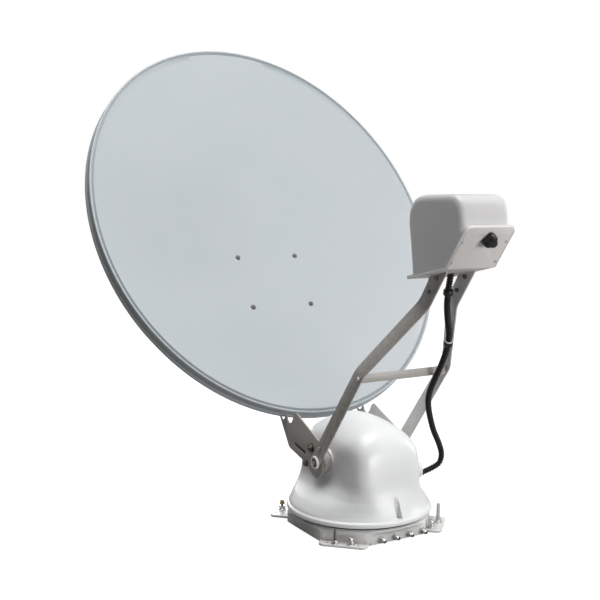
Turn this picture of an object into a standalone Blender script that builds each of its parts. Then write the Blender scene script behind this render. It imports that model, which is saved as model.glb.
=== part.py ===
"""Motorised offset satellite dish antenna: a pressed base, a domed pointing head, and a dish with feed arms.

Frame: +Z up, the azimuth axis is the Z axis, the base stands on z = 0 and the dish looks towards -Y.
The elevation axis runs along X. All sizes are in metres.
"""

import math

import bmesh
import bpy
from mathutils import Matrix, Vector

# ---- driving dimensions ------------------------------------------------------------------------
GAP = 0.0003
SHEET = 0.003
SIDES = (("left", -1), ("right", 1))

DISH_HALF_WIDTH = 0.437
DISH_HALF_HEIGHT = 0.499
DISH_OFFSET_ANGLE = math.radians(29.59)
DISH_FOCAL_LENGTH = 0.515
DISH_TILT = math.radians(31.75)
DISH_CENTRE = Vector((0.0, 0.3845, 0.6447))
DISH_WALL = 0.0022
RIM_WIDTH = 0.004
DISH_BOLT_HALF_PITCH = 0.0795
DISH_BOLT_UP = (-0.0217, -0.1475)
DISH_BOLT_RADIUS = 0.004

BASE_HALF = 0.137
BASE_HEIGHT = 0.030
BASE_DIAGONAL = 0.147
BASE_TOP_RADIUS = 0.150
BASE_HOLE_RADIUS = 0.096
# Corner lugs: side, front or rear, reach along the diagonal, and their width towards the front and the rear.
LUGS = {
    "front_left": (-1, -1, 0.168, 0.049, 0.049),
    "front_right": (1, -1, 0.180, 0.036, 0.055),
    "rear_right": (1, 1, 0.190, 0.031, 0.055),
    "rear_left": (-1, 1, 0.190, 0.031, 0.055),
}
LUG_THICKNESS = 0.0045
STUD_RADIUS = 0.004
CONNECTOR_X = (-0.038, -0.0037, 0.0306, 0.0646)
CONNECTOR_Z = 0.0085

LIP_RADIUS = 0.153
LIP_BOTTOM = 0.0353
TURNTABLE_BOTTOM = 0.036
TURNTABLE_TOP = 0.039
TURNTABLE_RADIUS = 0.1435

ELEVATION_Z = 0.141
SHAFT_RADIUS = 0.010
BOSS_FACE_X = 0.084
HUB_X = (0.085, 0.0992)
BRACKET_X = (0.0995, 0.1025)
ARM_OUTER_X = 0.1058
ARM_TOP_X = 0.0339
WASHER_X = (0.1061, 0.1086)
BOLT_HEAD_X = (0.1089, 0.1155)

GEAR_MODULE = 0.002
FIXED_GEAR_TEETH = 54
ELEVATION_GEAR_TEETH = 40
PINION_TEETH = 12
GEAR_SPREAD = 0.0003

FEED_Z = 0.597
FEED_HALF_WIDTH = 0.057
TRAY_POINTS = ((-0.238, 0.535), (-0.347, 0.559), (-0.3920, 0.620), (-0.4003, 0.632))
TRAY_HALF_WIDTHS = (0.057, 0.057, 0.057, 0.045)
CONDUIT_RADIUS = 0.0062
CONDUIT_ROUTE = (
    (0.0760, -0.0703, 0.1100),
    (0.0900, -0.0763, 0.1100),
    (0.1034, -0.0820, 0.1100),
    (0.1178, -0.0850, 0.1143),
    (0.1323, -0.0882, 0.1200),
    (0.1415, -0.0912, 0.1262),
    (0.1450, -0.0938, 0.1345),
    (0.1446, -0.0970, 0.1460),
    (0.1390, -0.1000, 0.1620),
    (0.1254, -0.1050, 0.1851),
    (0.1140, -0.1090, 0.2023),
    (0.1020, -0.1155, 0.2230),
    (0.0861, -0.1270, 0.2513),
    (0.0742, -0.1390, 0.2787),
    (0.0685, -0.1520, 0.3014),
    (0.0680, -0.1680, 0.3286),
    (0.0670, -0.1870, 0.3581),
    (0.0635, -0.2040, 0.3838),
    (0.0572, -0.2190, 0.4064),
    (0.0470, -0.2340, 0.4290),
    (0.0290, -0.2510, 0.4560),
    (0.0160, -0.2640, 0.4880),
    (0.0110, -0.2740, 0.5200),
    (0.0090, -0.2810, 0.5400),
    (0.0090, -0.2850, 0.5560),
)

# ---- collections, materials and small helpers --------------------------------------------------
for old in list(bpy.data.objects):
    bpy.data.objects.remove(old, do_unlink=True)

parts = bpy.data.collections.new("satellite_dish_antenna")
cutters = bpy.data.collections.new("cutters")
bpy.context.scene.collection.children.link(parts)
bpy.context.scene.collection.children.link(cutters)

FINISHES = {
    "dish_white": ((0.62, 0.66, 0.68), 0.45, 0.0),
    "gloss_white": ((0.80, 0.82, 0.82), 0.20, 0.0),
    "base_paint": ((0.66, 0.65, 0.63), 0.40, 0.0),
    "frame_paint": ((0.36, 0.33, 0.30), 0.50, 0.0),
    "tray_paint": ((0.62, 0.58, 0.55), 0.45, 0.0),
    "zinc": ((0.62, 0.60, 0.55), 0.30, 1.0),
    "steel": ((0.50, 0.50, 0.50), 0.35, 1.0),
    "brass": ((0.68, 0.53, 0.26), 0.30, 1.0),
    "white_nylon": ((0.85, 0.85, 0.84), 0.40, 0.0),
    "black_plastic": ((0.02, 0.02, 0.02), 0.50, 0.0),
    "rubber": ((0.015, 0.015, 0.015), 0.80, 0.0),
    "board_green": ((0.03, 0.18, 0.08), 0.50, 0.0),
    "cast_alloy": ((0.55, 0.55, 0.56), 0.45, 1.0),
}


def add_material(name):
    """A plain Principled material of that finish, made once."""
    found = bpy.data.materials.get(name)
    if found:
        return found
    color, roughness, metallic = FINISHES[name]
    made = bpy.data.materials.new(name)
    made.use_nodes = True
    shader = made.node_tree.nodes["Principled BSDF"]
    shader.inputs["Base Color"].default_value = (*color, 1.0)
    shader.inputs["Roughness"].default_value = roughness
    shader.inputs["Metallic"].default_value = metallic
    return made


def place(name, data, finish=None):
    """Links a piece, or a cutter where no finish is given."""
    obj = bpy.data.objects.new(name, data)
    if finish is None:
        cutters.objects.link(obj)
        obj.hide_render = True
        obj.display_type = "WIRE"
        return obj
    parts.objects.link(obj)
    data.materials.append(add_material(finish))
    return obj


def mesh_from(bm, name, smooth=True):
    bmesh.ops.recalc_face_normals(bm, faces=bm.faces)
    mesh = bpy.data.meshes.new(name)
    bm.to_mesh(mesh)
    bm.free()
    if smooth:
        mesh.shade_smooth()
        mesh.set_sharp_from_angle(angle=math.radians(35))
    return mesh


def block(name, low, high, finish=None):
    low, high = Vector(low), Vector(high)
    bm = bmesh.new()
    bmesh.ops.create_cube(bm, size=1.0)
    bmesh.ops.scale(bm, verts=bm.verts, vec=high - low)
    bmesh.ops.translate(bm, verts=bm.verts, vec=(low + high) / 2)
    return place(name, mesh_from(bm, name, smooth=False), finish)


def rod(name, start, end, radius, finish=None, segments=24, end_radius=None):
    """A cylinder, or a cone, between two points."""
    start, end = Vector(start), Vector(end)
    bm = bmesh.new()
    bmesh.ops.create_cone(
        bm, cap_ends=True, segments=segments, depth=(end - start).length,
        radius1=radius, radius2=radius if end_radius is None else end_radius,
    )
    turn = (end - start).to_track_quat("Z", "Y").to_matrix().to_4x4()
    bmesh.ops.transform(bm, verts=bm.verts, matrix=Matrix.Translation((start + end) / 2) @ turn)
    return place(name, mesh_from(bm, name), finish)


def turned(name, outline, finish=None, origin=(0, 0, 0), axis=(0, 0, 1), segments=32, closed=False):
    """Turns (radius, height) points about an axis. They run down the outer side from the top."""
    bm = bmesh.new()
    verts = [bm.verts.new((radius, 0.0, height)) for radius, height in outline]
    for a, b in zip(verts, verts[1:]):
        bm.edges.new((a, b))
    if closed:
        bm.edges.new((verts[-1], verts[0]))
    mesh = bpy.data.meshes.new(name)
    bm.to_mesh(mesh)
    bm.free()
    obj = place(name, mesh, finish)
    obj.matrix_world = Matrix.Translation(origin) @ Vector(axis).to_track_quat("Z", "Y").to_matrix().to_4x4()
    screw = obj.modifiers.new("turn", "SCREW")
    screw.steps = segments
    screw.render_steps = segments
    screw.use_merge_vertices = True
    screw.merge_threshold = 0.00001
    return obj


def ring(name, inner, outer, low, high, finish=None, origin=(0, 0, 0), axis=(0, 0, 1), segments=32):
    outline = ((outer, high), (outer, low), (inner, low), (inner, high))
    return turned(name, outline, finish, origin, axis, segments, closed=True)


def flat_plate(name, outlines, start, thickness, finish=None, normal="X"):
    """A flat sheet of the given outlines, in Y and Z where its normal is X, else in X and Y."""
    curve = bpy.data.curves.new(name, "CURVE")
    curve.dimensions = "2D"
    curve.fill_mode = "BOTH"
    curve.extrude = thickness / 2
    for points in outlines:
        spline = curve.splines.new("POLY")
        spline.points.add(len(points) - 1)
        spline.use_cyclic_u = True
        for point, (u, v) in zip(spline.points, points):
            point.co = (u, v, 0.0, 1.0)
    obj = place(name, curve, finish)
    if normal == "X":
        turn = Matrix(((0, 0, 1), (1, 0, 0), (0, 1, 0))).to_4x4()
        obj.matrix_world = Matrix.Translation((start + thickness / 2, 0, 0)) @ turn
    else:
        obj.matrix_world = Matrix.Translation((0, 0, start + thickness / 2))
    return obj


def solid_mesh(obj):
    """Replaces a curve or a turned piece by its evaluated mesh, with its caps welded."""
    depsgraph = bpy.context.evaluated_depsgraph_get()
    mesh = bpy.data.meshes.new_from_object(obj.evaluated_get(depsgraph))
    bm = bmesh.new()
    bm.from_mesh(mesh)
    bmesh.ops.remove_doubles(bm, verts=bm.verts, dist=0.00001)
    bmesh.ops.recalc_face_normals(bm, faces=bm.faces)
    bm.to_mesh(mesh)
    bm.free()
    name, matrix, home = obj.name, obj.matrix_world.copy(), obj.users_collection[0]
    is_cutter = obj.hide_render
    bpy.data.objects.remove(obj)
    made = bpy.data.objects.new(name, mesh)
    home.objects.link(made)
    made.matrix_world = matrix
    if is_cutter:
        made.hide_render = True
        made.display_type = "WIRE"
    return made


def combine(target, tool, operation):
    """Cuts the tool from the target, or joins it, with an exact Boolean."""
    boolean = target.modifiers.new(tool.name, "BOOLEAN")
    boolean.operation = operation
    boolean.solver = "EXACT"
    boolean.object = tool


def cut(target, tool):
    combine(target, tool, "DIFFERENCE")


def join(target, tool):
    combine(target, tool, "UNION")


def circle(radius, centre=(0.0, 0.0), segments=24, start=0.0):
    return [
        (
            centre[0] + radius * math.cos(start + 2 * math.pi * k / segments),
            centre[1] + radius * math.sin(start + 2 * math.pi * k / segments),
        )
        for k in range(segments)
    ]


def slot_outline(start, end, radius, segments=6):
    """A slot with round ends between two points."""
    angle = math.atan2(end[1] - start[1], end[0] - start[0])
    points = []
    for centre, turn in ((end, -math.pi / 2), (start, math.pi / 2)):
        for k in range(segments + 1):
            a = angle + turn + math.pi * k / segments
            points.append((centre[0] + radius * math.cos(a), centre[1] + radius * math.sin(a)))
    return points


def gear_outline(teeth, module, first_tooth):
    """Involute teeth; first_tooth is the angle of one tooth's middle."""
    pitch = teeth * module / 2
    tip, root = pitch + 0.85 * module, pitch - 1.15 * module
    base = pitch * math.cos(math.radians(20))

    def involute(radius):
        a = math.acos(min(1.0, base / radius))
        return math.tan(a) - a

    backlash = 0.00018 / pitch
    half_pitch_angle = math.pi / (2 * teeth) - backlash + involute(pitch)
    flank = (max(root, base * 1.0005), pitch, tip)
    points = []
    for k in range(teeth):
        middle = first_tooth + 2 * math.pi * k / teeth
        offsets = [(radius, half_pitch_angle - involute(radius)) for radius in flank]
        if root < base:
            offsets.insert(0, (root, offsets[0][1]))
        side = [(radius, middle - a) for radius, a in offsets]
        side += [(radius, middle + a) for radius, a in reversed(offsets)]
        points += [(radius * math.cos(a), radius * math.sin(a)) for radius, a in side]
    return points


def gear(name, teeth, bore, low, high, first_tooth, finish, centre=(0.0, 0.0, 0.0), normal="Z"):
    outlines = [gear_outline(teeth, GEAR_MODULE, first_tooth), circle(bore, segments=20)]
    obj = flat_plate(name, outlines, low, high - low, finish, normal)
    obj.matrix_world = Matrix.Translation(centre) @ obj.matrix_world
    return obj


def strip(name, stations, thickness, finish=None, offset=-1.0):
    """A bent flat bar: each station is the pair of points that its fold line joins."""
    bm = bmesh.new()
    pairs = [(bm.verts.new(a), bm.verts.new(b)) for a, b in stations]
    for (a, b), (c, d) in zip(pairs, pairs[1:]):
        bm.faces.new((a, b, d, c))
    mesh = bpy.data.meshes.new(name)
    bm.to_mesh(mesh)
    bm.free()
    obj = place(name, mesh, finish)
    solid = obj.modifiers.new("sheet", "SOLIDIFY")
    solid.thickness = thickness
    solid.offset = offset
    solid.use_even_offset = True
    return obj


# ---- the dish's geometry -----------------------------------------------------------------------
DISH_UP = Vector((0.0, math.sin(DISH_TILT), math.cos(DISH_TILT)))
DISH_OUT = Vector((0.0, -math.cos(DISH_TILT), math.sin(DISH_TILT)))
BEAM = DISH_OUT * math.cos(DISH_OFFSET_ANGLE) + DISH_UP * math.sin(DISH_OFFSET_ANGLE)
BEAM_UP = DISH_UP * math.cos(DISH_OFFSET_ANGLE) - DISH_OUT * math.sin(DISH_OFFSET_ANGLE)
APERTURE_OFFSET = 2 * DISH_FOCAL_LENGTH * math.tan(DISH_OFFSET_ANGLE)
CHORD_DEPTH = (APERTURE_OFFSET**2 + DISH_HALF_WIDTH**2) / (4 * DISH_FOCAL_LENGTH)
VERTEX = DISH_CENTRE - APERTURE_OFFSET * BEAM_UP - CHORD_DEPTH * BEAM


def dish_point(across, up):
    """The point of the paraboloid at a place in the round aperture, from the aperture's centre."""
    height = APERTURE_OFFSET + up
    along = (across**2 + height**2) / (4 * DISH_FOCAL_LENGTH)
    return VERTEX + Vector((across, 0, 0)) + BEAM_UP * height + BEAM * along


def dish_bolt_places():
    """Places and inward normals of the four reflector bolts, found on the paraboloid."""
    found = []
    for up in DISH_BOLT_UP:
        for side in (-1, 1):
            across = side * DISH_BOLT_HALF_PITCH
            point = dish_point(across, up)
            slope = Vector((across, 0, 0)) + BEAM_UP * (APERTURE_OFFSET + up)
            normal = (BEAM - slope / (2 * DISH_FOCAL_LENGTH)).normalized()
            found.append((point, normal))
    return found


# ---- base --------------------------------------------------------------------------------------
def octagon(half, diagonal):
    corner = diagonal * math.sqrt(2) - half
    signs = ((1, -1), (1, 1), (-1, 1), (-1, -1))
    points = []
    for sx, sy in signs:
        pair = [(sx * half, sy * corner), (sx * corner, sy * half)]
        points += pair if sx * sy > 0 else pair[::-1]
    return points


def base_shell(name, inset, bottom, top, finish=None):
    """The pressed tray's outer or inner form: an octagon that flows into a circle at its top."""
    corners = [Vector(corner) for corner in octagon(BASE_HALF - inset, BASE_DIAGONAL - inset)]
    plan = [a.lerp(b, k / 4) for a, b in zip(corners, corners[1:] + corners[:1]) for k in range(4)]
    rim = BASE_TOP_RADIUS - inset
    levels = []
    bm = bmesh.new()
    for z, roundness, reach in (
        (bottom, 0.0, 0.0), (top - 0.0130, 0.0, 0.0), (top - 0.0080, 0.4, 0.0005),
        (top - 0.0040, 0.9, 0.0), (top, 1.0, -0.0040),
    ):
        points = [point.lerp(point.normalized() * rim, roundness) for point in plan]
        points = [point + point.normalized() * reach for point in points]
        levels.append([bm.verts.new((point.x, point.y, z)) for point in points])
    sides = len(plan)
    for lower, upper in zip(levels, levels[1:]):
        for k in range(sides):
            bm.faces.new((lower[k], lower[(k + 1) % sides], upper[(k + 1) % sides], upper[k]))
    bm.faces.new(levels[-1])
    bm.faces.new(levels[0][::-1])
    return place(name, mesh_from(bm, name), finish)


def lug_outline(corner):
    """A corner lug in plan: a rounded tab that stands out along the diagonal."""
    sx, sy, reach, forward, backward = LUGS[corner]
    out = Vector((sx, sy)) / math.sqrt(2)
    back = Vector((-sx * sy, 1)) / math.sqrt(2)
    radius = 0.012
    points = [out * 0.130 - back * forward]
    for side, half in ((-1, forward), (1, backward)):
        centre = out * (reach - radius) + back * side * (half - radius)
        for k in range(5):
            a = math.pi / 2 * (k / 4 if side > 0 else 1 - k / 4)
            points.append(centre + radius * (out * math.cos(a) + back * side * math.sin(a)))
    points.append(out * 0.130 + back * backward)
    return [tuple(p) for p in points]


def lug_point(corner, backward, inward):
    """A point on a lug, that far towards the rear and that far in from its outer edge."""
    sx, sy, reach = LUGS[corner][:3]
    return Vector((sx, sy)) / math.sqrt(2) * (reach - inward) + Vector((-sx * sy, 1)) / math.sqrt(2) * backward


def hex_stud(name, place_xy, top, finish):
    """A stud up through a lug, with its nut and washer on the lug's top."""
    x, y = place_xy
    nut_low = LUG_THICKNESS + GAP
    outline = (
        (0.0, top), (STUD_RADIUS * 0.8, top), (STUD_RADIUS, top - 0.0008), (STUD_RADIUS, nut_low + 0.0085),
        (0.0068, nut_low + 0.0080), (0.0072, nut_low + 0.0020), (0.0090, nut_low + 0.0018),
        (0.0090, nut_low), (STUD_RADIUS, nut_low), (STUD_RADIUS, 0.0002), (0.0, 0.0002),
    )
    return turned(name, outline, finish, origin=(x, y, 0), segments=12)


def build_base():
    plate = base_shell("base_plate", 0.0, 0.0, BASE_HEIGHT, "base_paint")
    for corner in LUGS:
        lug = flat_plate(f"lug_{corner}", [lug_outline(corner)], 0.0, LUG_THICKNESS, normal="Z")
        join(plate, solid_mesh(lug))
    cut(plate, base_shell("base_inside", SHEET, -0.010, BASE_HEIGHT - SHEET))
    cut(plate, rod("base_hole", (0, 0, 0.010), (0, 0, 0.040), BASE_HOLE_RADIUS, segments=40))

    studs = (
        ("mounting_stud_front_left", "front_left", 0.016, 0.0095, 0.0335, "steel"),
        ("mounting_bolt_front_left", "front_left", -0.016, 0.0095, 0.0205, "zinc"),
        ("mounting_stud_front_right", "front_right", 0.0175, 0.0126, 0.0450, "steel"),
        ("mounting_bolt_front_right", "front_right", -0.018, 0.023, 0.0205, "zinc"),
        ("mounting_stud_rear_left", "rear_left", 0.014, 0.016, 0.0260, "brass"),
        ("mounting_stud_rear_right", "rear_right", 0.014, 0.016, 0.0260, "brass"),
    )
    for name, corner, backward, inward, top, finish in studs:
        x, y = lug_point(corner, backward, inward)
        hex_stud(name, (x, y), top, finish)
        cut(plate, rod(f"hole_{name}", (x, y, -0.01), (x, y, 0.01), STUD_RADIUS + GAP, segments=12))

    for k, x in enumerate(CONNECTOR_X, 1):
        wall = -BASE_HALF
        outline = (
            (0.0, 0.0125), (0.0042, 0.0125), (0.0042, 0.0045), (0.0062, 0.0045), (0.0062, GAP),
            (0.0040, GAP), (0.0040, -0.0080), (0.0, -0.0080),
        )
        turned(f"coax_connector_{k}", outline, "zinc", (x, wall, CONNECTOR_Z), (0, -1, 0), 12)
        cut(plate, rod(f"connector_hole_{k}", (x, wall - 0.01, CONNECTOR_Z), (x, wall + 0.006, CONNECTOR_Z),
                       0.0040 + GAP, segments=12))

    bottom = octagon(BASE_HALF - SHEET - 0.001, BASE_DIAGONAL - SHEET - 0.001)
    flat_plate("bottom_cover", [bottom], 0.0, SHEET, "base_paint", normal="Z")
    post = (
        (0.0, 0.045), (0.012, 0.045), (0.012, 0.0195), (0.016, 0.0195), (0.016, 0.008),
        (0.034, 0.007), (0.034, SHEET + GAP), (0.0, SHEET + GAP),
    )
    turned("spindle_post", post, "cast_alloy", segments=24)
    gear("azimuth_gear", FIXED_GEAR_TEETH, 0.012 + GAP, 0.0200, 0.0290, -math.pi / 2, "steel")
    ring("bearing_outer_ring", 0.0980, 0.1100, BASE_HEIGHT + GAP, 0.0355, "steel", segments=40)
    ring("gap_seal", 0.1370, 0.1450, BASE_HEIGHT + GAP, 0.0350, "rubber", segments=40)


# ---- head --------------------------------------------------------------------------------------
# Dome sections: height, half width, front and rear half lengths, squareness, and how far the side pockets sink in.
DOME_SECTIONS = (
    (LIP_BOTTOM, 0.1530, 0.1530, 0.1530, 2.00, 0.0000),
    (0.0425, 0.1530, 0.1530, 0.1530, 2.00, 0.0000),
    (0.0460, 0.1490, 0.1490, 0.1490, 2.00, 0.0000),
    (0.0500, 0.1468, 0.1468, 0.1468, 2.00, 0.0000),
    (0.0560, 0.1430, 0.1440, 0.1440, 2.05, 0.0010),
    (0.0660, 0.1320, 0.1400, 0.1400, 2.25, 0.0010),
    (0.0740, 0.1190, 0.1370, 0.1375, 2.60, 0.0020),
    (0.0820, 0.1060, 0.1340, 0.1345, 3.10, 0.0030),
    (0.0900, 0.0965, 0.1315, 0.1320, 3.80, 0.0030),
    (0.0980, 0.0895, 0.1295, 0.1295, 4.60, 0.0030),
    (0.1080, 0.0855, 0.1280, 0.1270, 5.40, 0.0030),
    (0.1220, 0.0840, 0.1265, 0.1245, 6.00, 0.0030),
    (0.1500, 0.0820, 0.1235, 0.1205, 6.00, 0.0020),
    (0.1750, 0.0795, 0.1190, 0.1140, 5.40, 0.0010),
    (0.1920, 0.0730, 0.1120, 0.1040, 4.20, 0.0000),
    (0.2060, 0.0620, 0.1010, 0.0920, 3.20, 0.0000),
    (0.2170, 0.0490, 0.0850, 0.0760, 2.70, 0.0000),
    (0.2265, 0.0330, 0.0600, 0.0520, 2.40, 0.0000),
    (0.2320, 0.0170, 0.0310, 0.0270, 2.10, 0.0000),
)
DOME_TOP = 0.2342
DOME_WALL = 0.003
POCKET_HALF_LENGTH = 0.072
DOME_SCREW_RADIUS = 0.1385
# Direction of each dome screw, and how high its recess reaches.
DOME_SCREWS = ((math.radians(-90), 0.088), (math.radians(50), 0.070), (math.radians(130), 0.070))
SCREW_RECESS_RADIUS = 0.0066
GLAND_RADIUS = 0.0155
GLAND_RAISE = 0.0055


def dome_point(section, angle):
    height, half_width, front, rear, squareness, pocket = section
    c, s = math.cos(angle), math.sin(angle)
    half_length = front if s < 0 else rear
    radius = (abs(c / half_width) ** squareness + abs(s / half_length) ** squareness) ** (-1 / squareness)
    x, y = radius * c, radius * s
    sink = pocket * math.exp(-((y / POCKET_HALF_LENGTH) ** 8))
    return (x - math.copysign(sink, x), y, height)


def dome_form(name, finish=None):
    """The dome's outer form as a solid."""
    segments = 48
    bm = bmesh.new()
    loops = [
        [bm.verts.new(dome_point(section, 2 * math.pi * (k + 0.5) / segments)) for k in range(segments)]
        for section in DOME_SECTIONS
    ]
    for lower, upper in zip(loops, loops[1:]):
        for k in range(segments):
            bm.faces.new((lower[k], lower[(k + 1) % segments], upper[(k + 1) % segments], upper[k]))
    apex = bm.verts.new((0, 0, DOME_TOP))
    for k in range(segments):
        bm.faces.new((loops[-1][k], loops[-1][(k + 1) % segments], apex))
    if not finish:
        bm.faces.new(loops[0][::-1])
    return place(name, mesh_from(bm, name), finish)


def build_dome():
    dome = dome_form("dome", "gloss_white")
    shell = dome.modifiers.new("shell", "SOLIDIFY")
    shell.thickness = DOME_WALL
    shell.offset = -1.0
    for side, sign in SIDES:
        join(dome, rod(f"boss_{side}", (sign * 0.0735, 0, ELEVATION_Z), (sign * BOSS_FACE_X, 0, ELEVATION_Z), 0.028))
    cut(dome, rod("shaft_opening", (-0.12, 0, ELEVATION_Z), (0.12, 0, ELEVATION_Z), 0.0165))
    for k, (angle, top) in enumerate(DOME_SCREWS, 1):
        out = Vector((math.cos(angle), math.sin(angle), 0))
        foot = out * DOME_SCREW_RADIUS
        well = rod(f"screw_well_{k}", (foot.x, foot.y, 0.0400), (foot.x, foot.y, top + SHEET),
                   SCREW_RECESS_RADIUS + SHEET, segments=16)
        form = dome_form(f"dome_form_{k}")
        form.scale = (0.995, 0.995, 1.0)
        combine(well, form, "INTERSECT")
        join(dome, well)
        outline = slot_outline(foot.xy, foot.xy + out.xy * 0.03, SCREW_RECESS_RADIUS)
        cut(dome, solid_mesh(flat_plate(f"screw_recess_{k}", [outline], 0.0450, top - 0.0450, normal="Z")))
        cut(dome, rod(f"screw_hole_{k}", (foot.x, foot.y, 0.0300), (foot.x, foot.y, 0.0500), 0.0024, segments=12))
        outline = ((0.0, 0.0484), (0.0030, 0.0482), (0.0048, 0.0469), (0.0048, 0.0453),
                   (0.0020, 0.0453), (0.0020, 0.0366), (0.0, 0.0366))
        turned(f"dome_screw_{k}", outline, "steel", origin=(foot.x, foot.y, 0), segments=12)
    build_gland(dome)


def build_gland(dome):
    """The white hub on the dome's side that the conduit comes out of."""
    way = Vector((0.92, -0.39, 0.0)).normalized()
    mouth = Vector(CONDUIT_ROUTE[2])
    hub = mouth + Vector((0, 0, GLAND_RAISE))
    cut(dome, rod("gland_hole", hub - way * 0.045, hub + way * 0.03, GLAND_RADIUS + GAP, segments=24))
    outline = ((0.0, 0.0), (0.0125, 0.0), (GLAND_RADIUS, -0.0030), (GLAND_RADIUS, -0.0300), (0.0, -0.0300))
    gland = turned("cable_gland", outline, "white_nylon", hub, way, 24)
    cut(gland, rod("gland_bore", mouth - way * 0.06, mouth + way * 0.03, CONDUIT_RADIUS + 2 * GAP, segments=16))


def build_chassis():
    chassis = block("chassis", (-0.062, -0.035, TURNTABLE_TOP + GAP), (0.062, 0.076, TURNTABLE_TOP + 0.0033), "steel")
    for side, sign in SIDES:
        inner, outer = sorted((sign * 0.059, sign * 0.062))
        upright = block(f"upright_{side}", (inner, -0.030, 0.0400), (outer, 0.074, 0.167))
        join(chassis, upright)
    cut(chassis, rod("bearing_bores", (-0.08, 0, ELEVATION_Z), (0.08, 0, ELEVATION_Z), 0.017 + GAP))
    cut(chassis, rod("chassis_centre", (0, 0, 0.030), (0, 0, 0.050), 0.018))
    for side, sign in SIDES:
        ring(f"shaft_bearing_{side}", SHAFT_RADIUS + GAP, 0.017, -0.004, 0.004, "steel",
             (sign * 0.0605, 0, ELEVATION_Z), (1, 0, 0), 24)


def build_head():
    turntable_holes = [circle(TURNTABLE_RADIUS, segments=40), circle(0.018, segments=20),
                       circle(0.006, (0.0, -GEAR_CENTRES[0]), 12)]
    for angle, top in DOME_SCREWS:
        centre = (DOME_SCREW_RADIUS * math.cos(angle), DOME_SCREW_RADIUS * math.sin(angle))
        turntable_holes.append(circle(0.0024, centre, 12))
    flat_plate("turntable", turntable_holes, TURNTABLE_BOTTOM, SHEET, "cast_alloy", normal="Z")
    ring("bearing_inner_ring", 0.0860, 0.0971, BASE_HEIGHT + 0.0006, TURNTABLE_BOTTOM - GAP, "steel", segments=40)
    build_dome()
    build_chassis()
    motor = ((0.0, 0.104), (0.016, 0.104), (0.016, 0.096), (0.0195, 0.096), (0.0195, TURNTABLE_TOP + GAP),
             (0.0, TURNTABLE_TOP + GAP))
    turned("azimuth_motor", motor, "cast_alloy", (0, -GEAR_CENTRES[0], 0), segments=20)
    outline = ((0.0, 0.0720), (0.0200, 0.0720), (0.0200, 0.0), (0.0, 0.0))
    turned("elevation_motor", outline, "cast_alloy", (-0.0587, GEAR_CENTRES[1], ELEVATION_Z), (1, 0, 0), 20)
    block("control_board", (-0.045, 0.082, 0.050), (0.045, 0.084, 0.125), "board_green")


GEAR_CENTRES = tuple(
    (teeth + PINION_TEETH) * GEAR_MODULE / 2 + GEAR_SPREAD for teeth in (FIXED_GEAR_TEETH, ELEVATION_GEAR_TEETH)
)


def build_pinions():
    """Pinions of the two motors. A gap between two teeth faces the gear that each one meets."""
    half_tooth = math.pi / PINION_TEETH
    azimuth = solid_mesh(gear("azimuth_pinion", PINION_TEETH, 0.0025, 0.0200, 0.0290, math.pi / 2 + half_tooth,
                              "brass", (0, -GEAR_CENTRES[0], 0)))
    azimuth.data.materials.clear()
    azimuth.data.materials.append(add_material("brass"))
    join(azimuth, rod("azimuth_pinion_shaft", (0, -GEAR_CENTRES[0], 0.0195), (0, -GEAR_CENTRES[0], TURNTABLE_TOP),
                      0.004, segments=16))
    elevation = solid_mesh(gear("elevation_pinion", PINION_TEETH, 0.0025, 0.0190, 0.0290, math.pi + half_tooth,
                                "brass", (0, GEAR_CENTRES[1], ELEVATION_Z), "X"))
    elevation.data.materials.clear()
    elevation.data.materials.append(add_material("brass"))
    join(elevation, rod("elevation_pinion_shaft", (0.0137, GEAR_CENTRES[1], ELEVATION_Z),
                        (0.0300, GEAR_CENTRES[1], ELEVATION_Z), 0.004, segments=16))


# ---- elevation frame ---------------------------------------------------------------------------
BRACKET_OUTLINE = (
    (-0.014, 0.1815), (-0.024, 0.152), (-0.018, 0.122), (0.000, 0.106), (0.014, 0.105),
    (0.058, 0.130), (0.120, 0.145), (0.160, 0.203), (0.232, 0.269), (0.304, 0.340),
    (0.372, 0.412), (0.452, 0.520), (0.456, 0.549), (0.439, 0.561), (0.422, 0.539),
    (0.342, 0.4295), (0.282, 0.361), (0.212, 0.289), (0.184, 0.246), (0.1650, 0.2200),
    (0.1580, 0.2050), (0.1510, 0.1975), (0.1440, 0.2000), (0.1395, 0.2060), (0.1355, 0.2135),
    (0.1310, 0.2120), (0.1285, 0.2040), (0.1220, 0.1990), (0.1130, 0.1995), (0.1060, 0.2070),
    (0.1000, 0.2205), (0.0900, 0.2270),
)
BRACKET_SLOT = ((0.0535, 0.1495), (0.0940, 0.1575))
RAIL_SIZE = 0.024
RAIL_BORE = 0.020


def build_brackets():
    for side, sign in SIDES:
        low = min(sign * BRACKET_X[0], sign * BRACKET_X[1])
        outlines = [BRACKET_OUTLINE, circle(0.0053, (0, ELEVATION_Z), 16), slot_outline(*BRACKET_SLOT, 0.0042)]
        flat_plate(f"bracket_{side}", outlines, low, BRACKET_X[1] - BRACKET_X[0], "frame_paint")
    for name, (point, normal) in zip(("lower", "upper"), (dish_bolt_places()[2], dish_bolt_places()[0])):
        middle = Vector((0, point.y, point.z))
        inward = Vector((0, -normal.y, -normal.z)).normalized()
        centre = middle + inward * (DISH_WALL + 0.0055 + RAIL_SIZE / 2)
        rail = block(f"cross_rail_{name}", (-BRACKET_X[0] + GAP, -RAIL_SIZE / 2, -RAIL_SIZE / 2),
                     (BRACKET_X[0] - GAP, RAIL_SIZE / 2, RAIL_SIZE / 2), "frame_paint")
        turn = Matrix.Rotation(math.atan2(inward.z, inward.y), 4, "X")
        rail.matrix_world = Matrix.Translation(centre) @ turn
        bore = block(f"rail_bore_{name}", (-0.12, -RAIL_BORE / 2, -RAIL_BORE / 2), (0.12, RAIL_BORE / 2, RAIL_BORE / 2))
        bore.matrix_world = rail.matrix_world
        cut(rail, bore)


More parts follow.
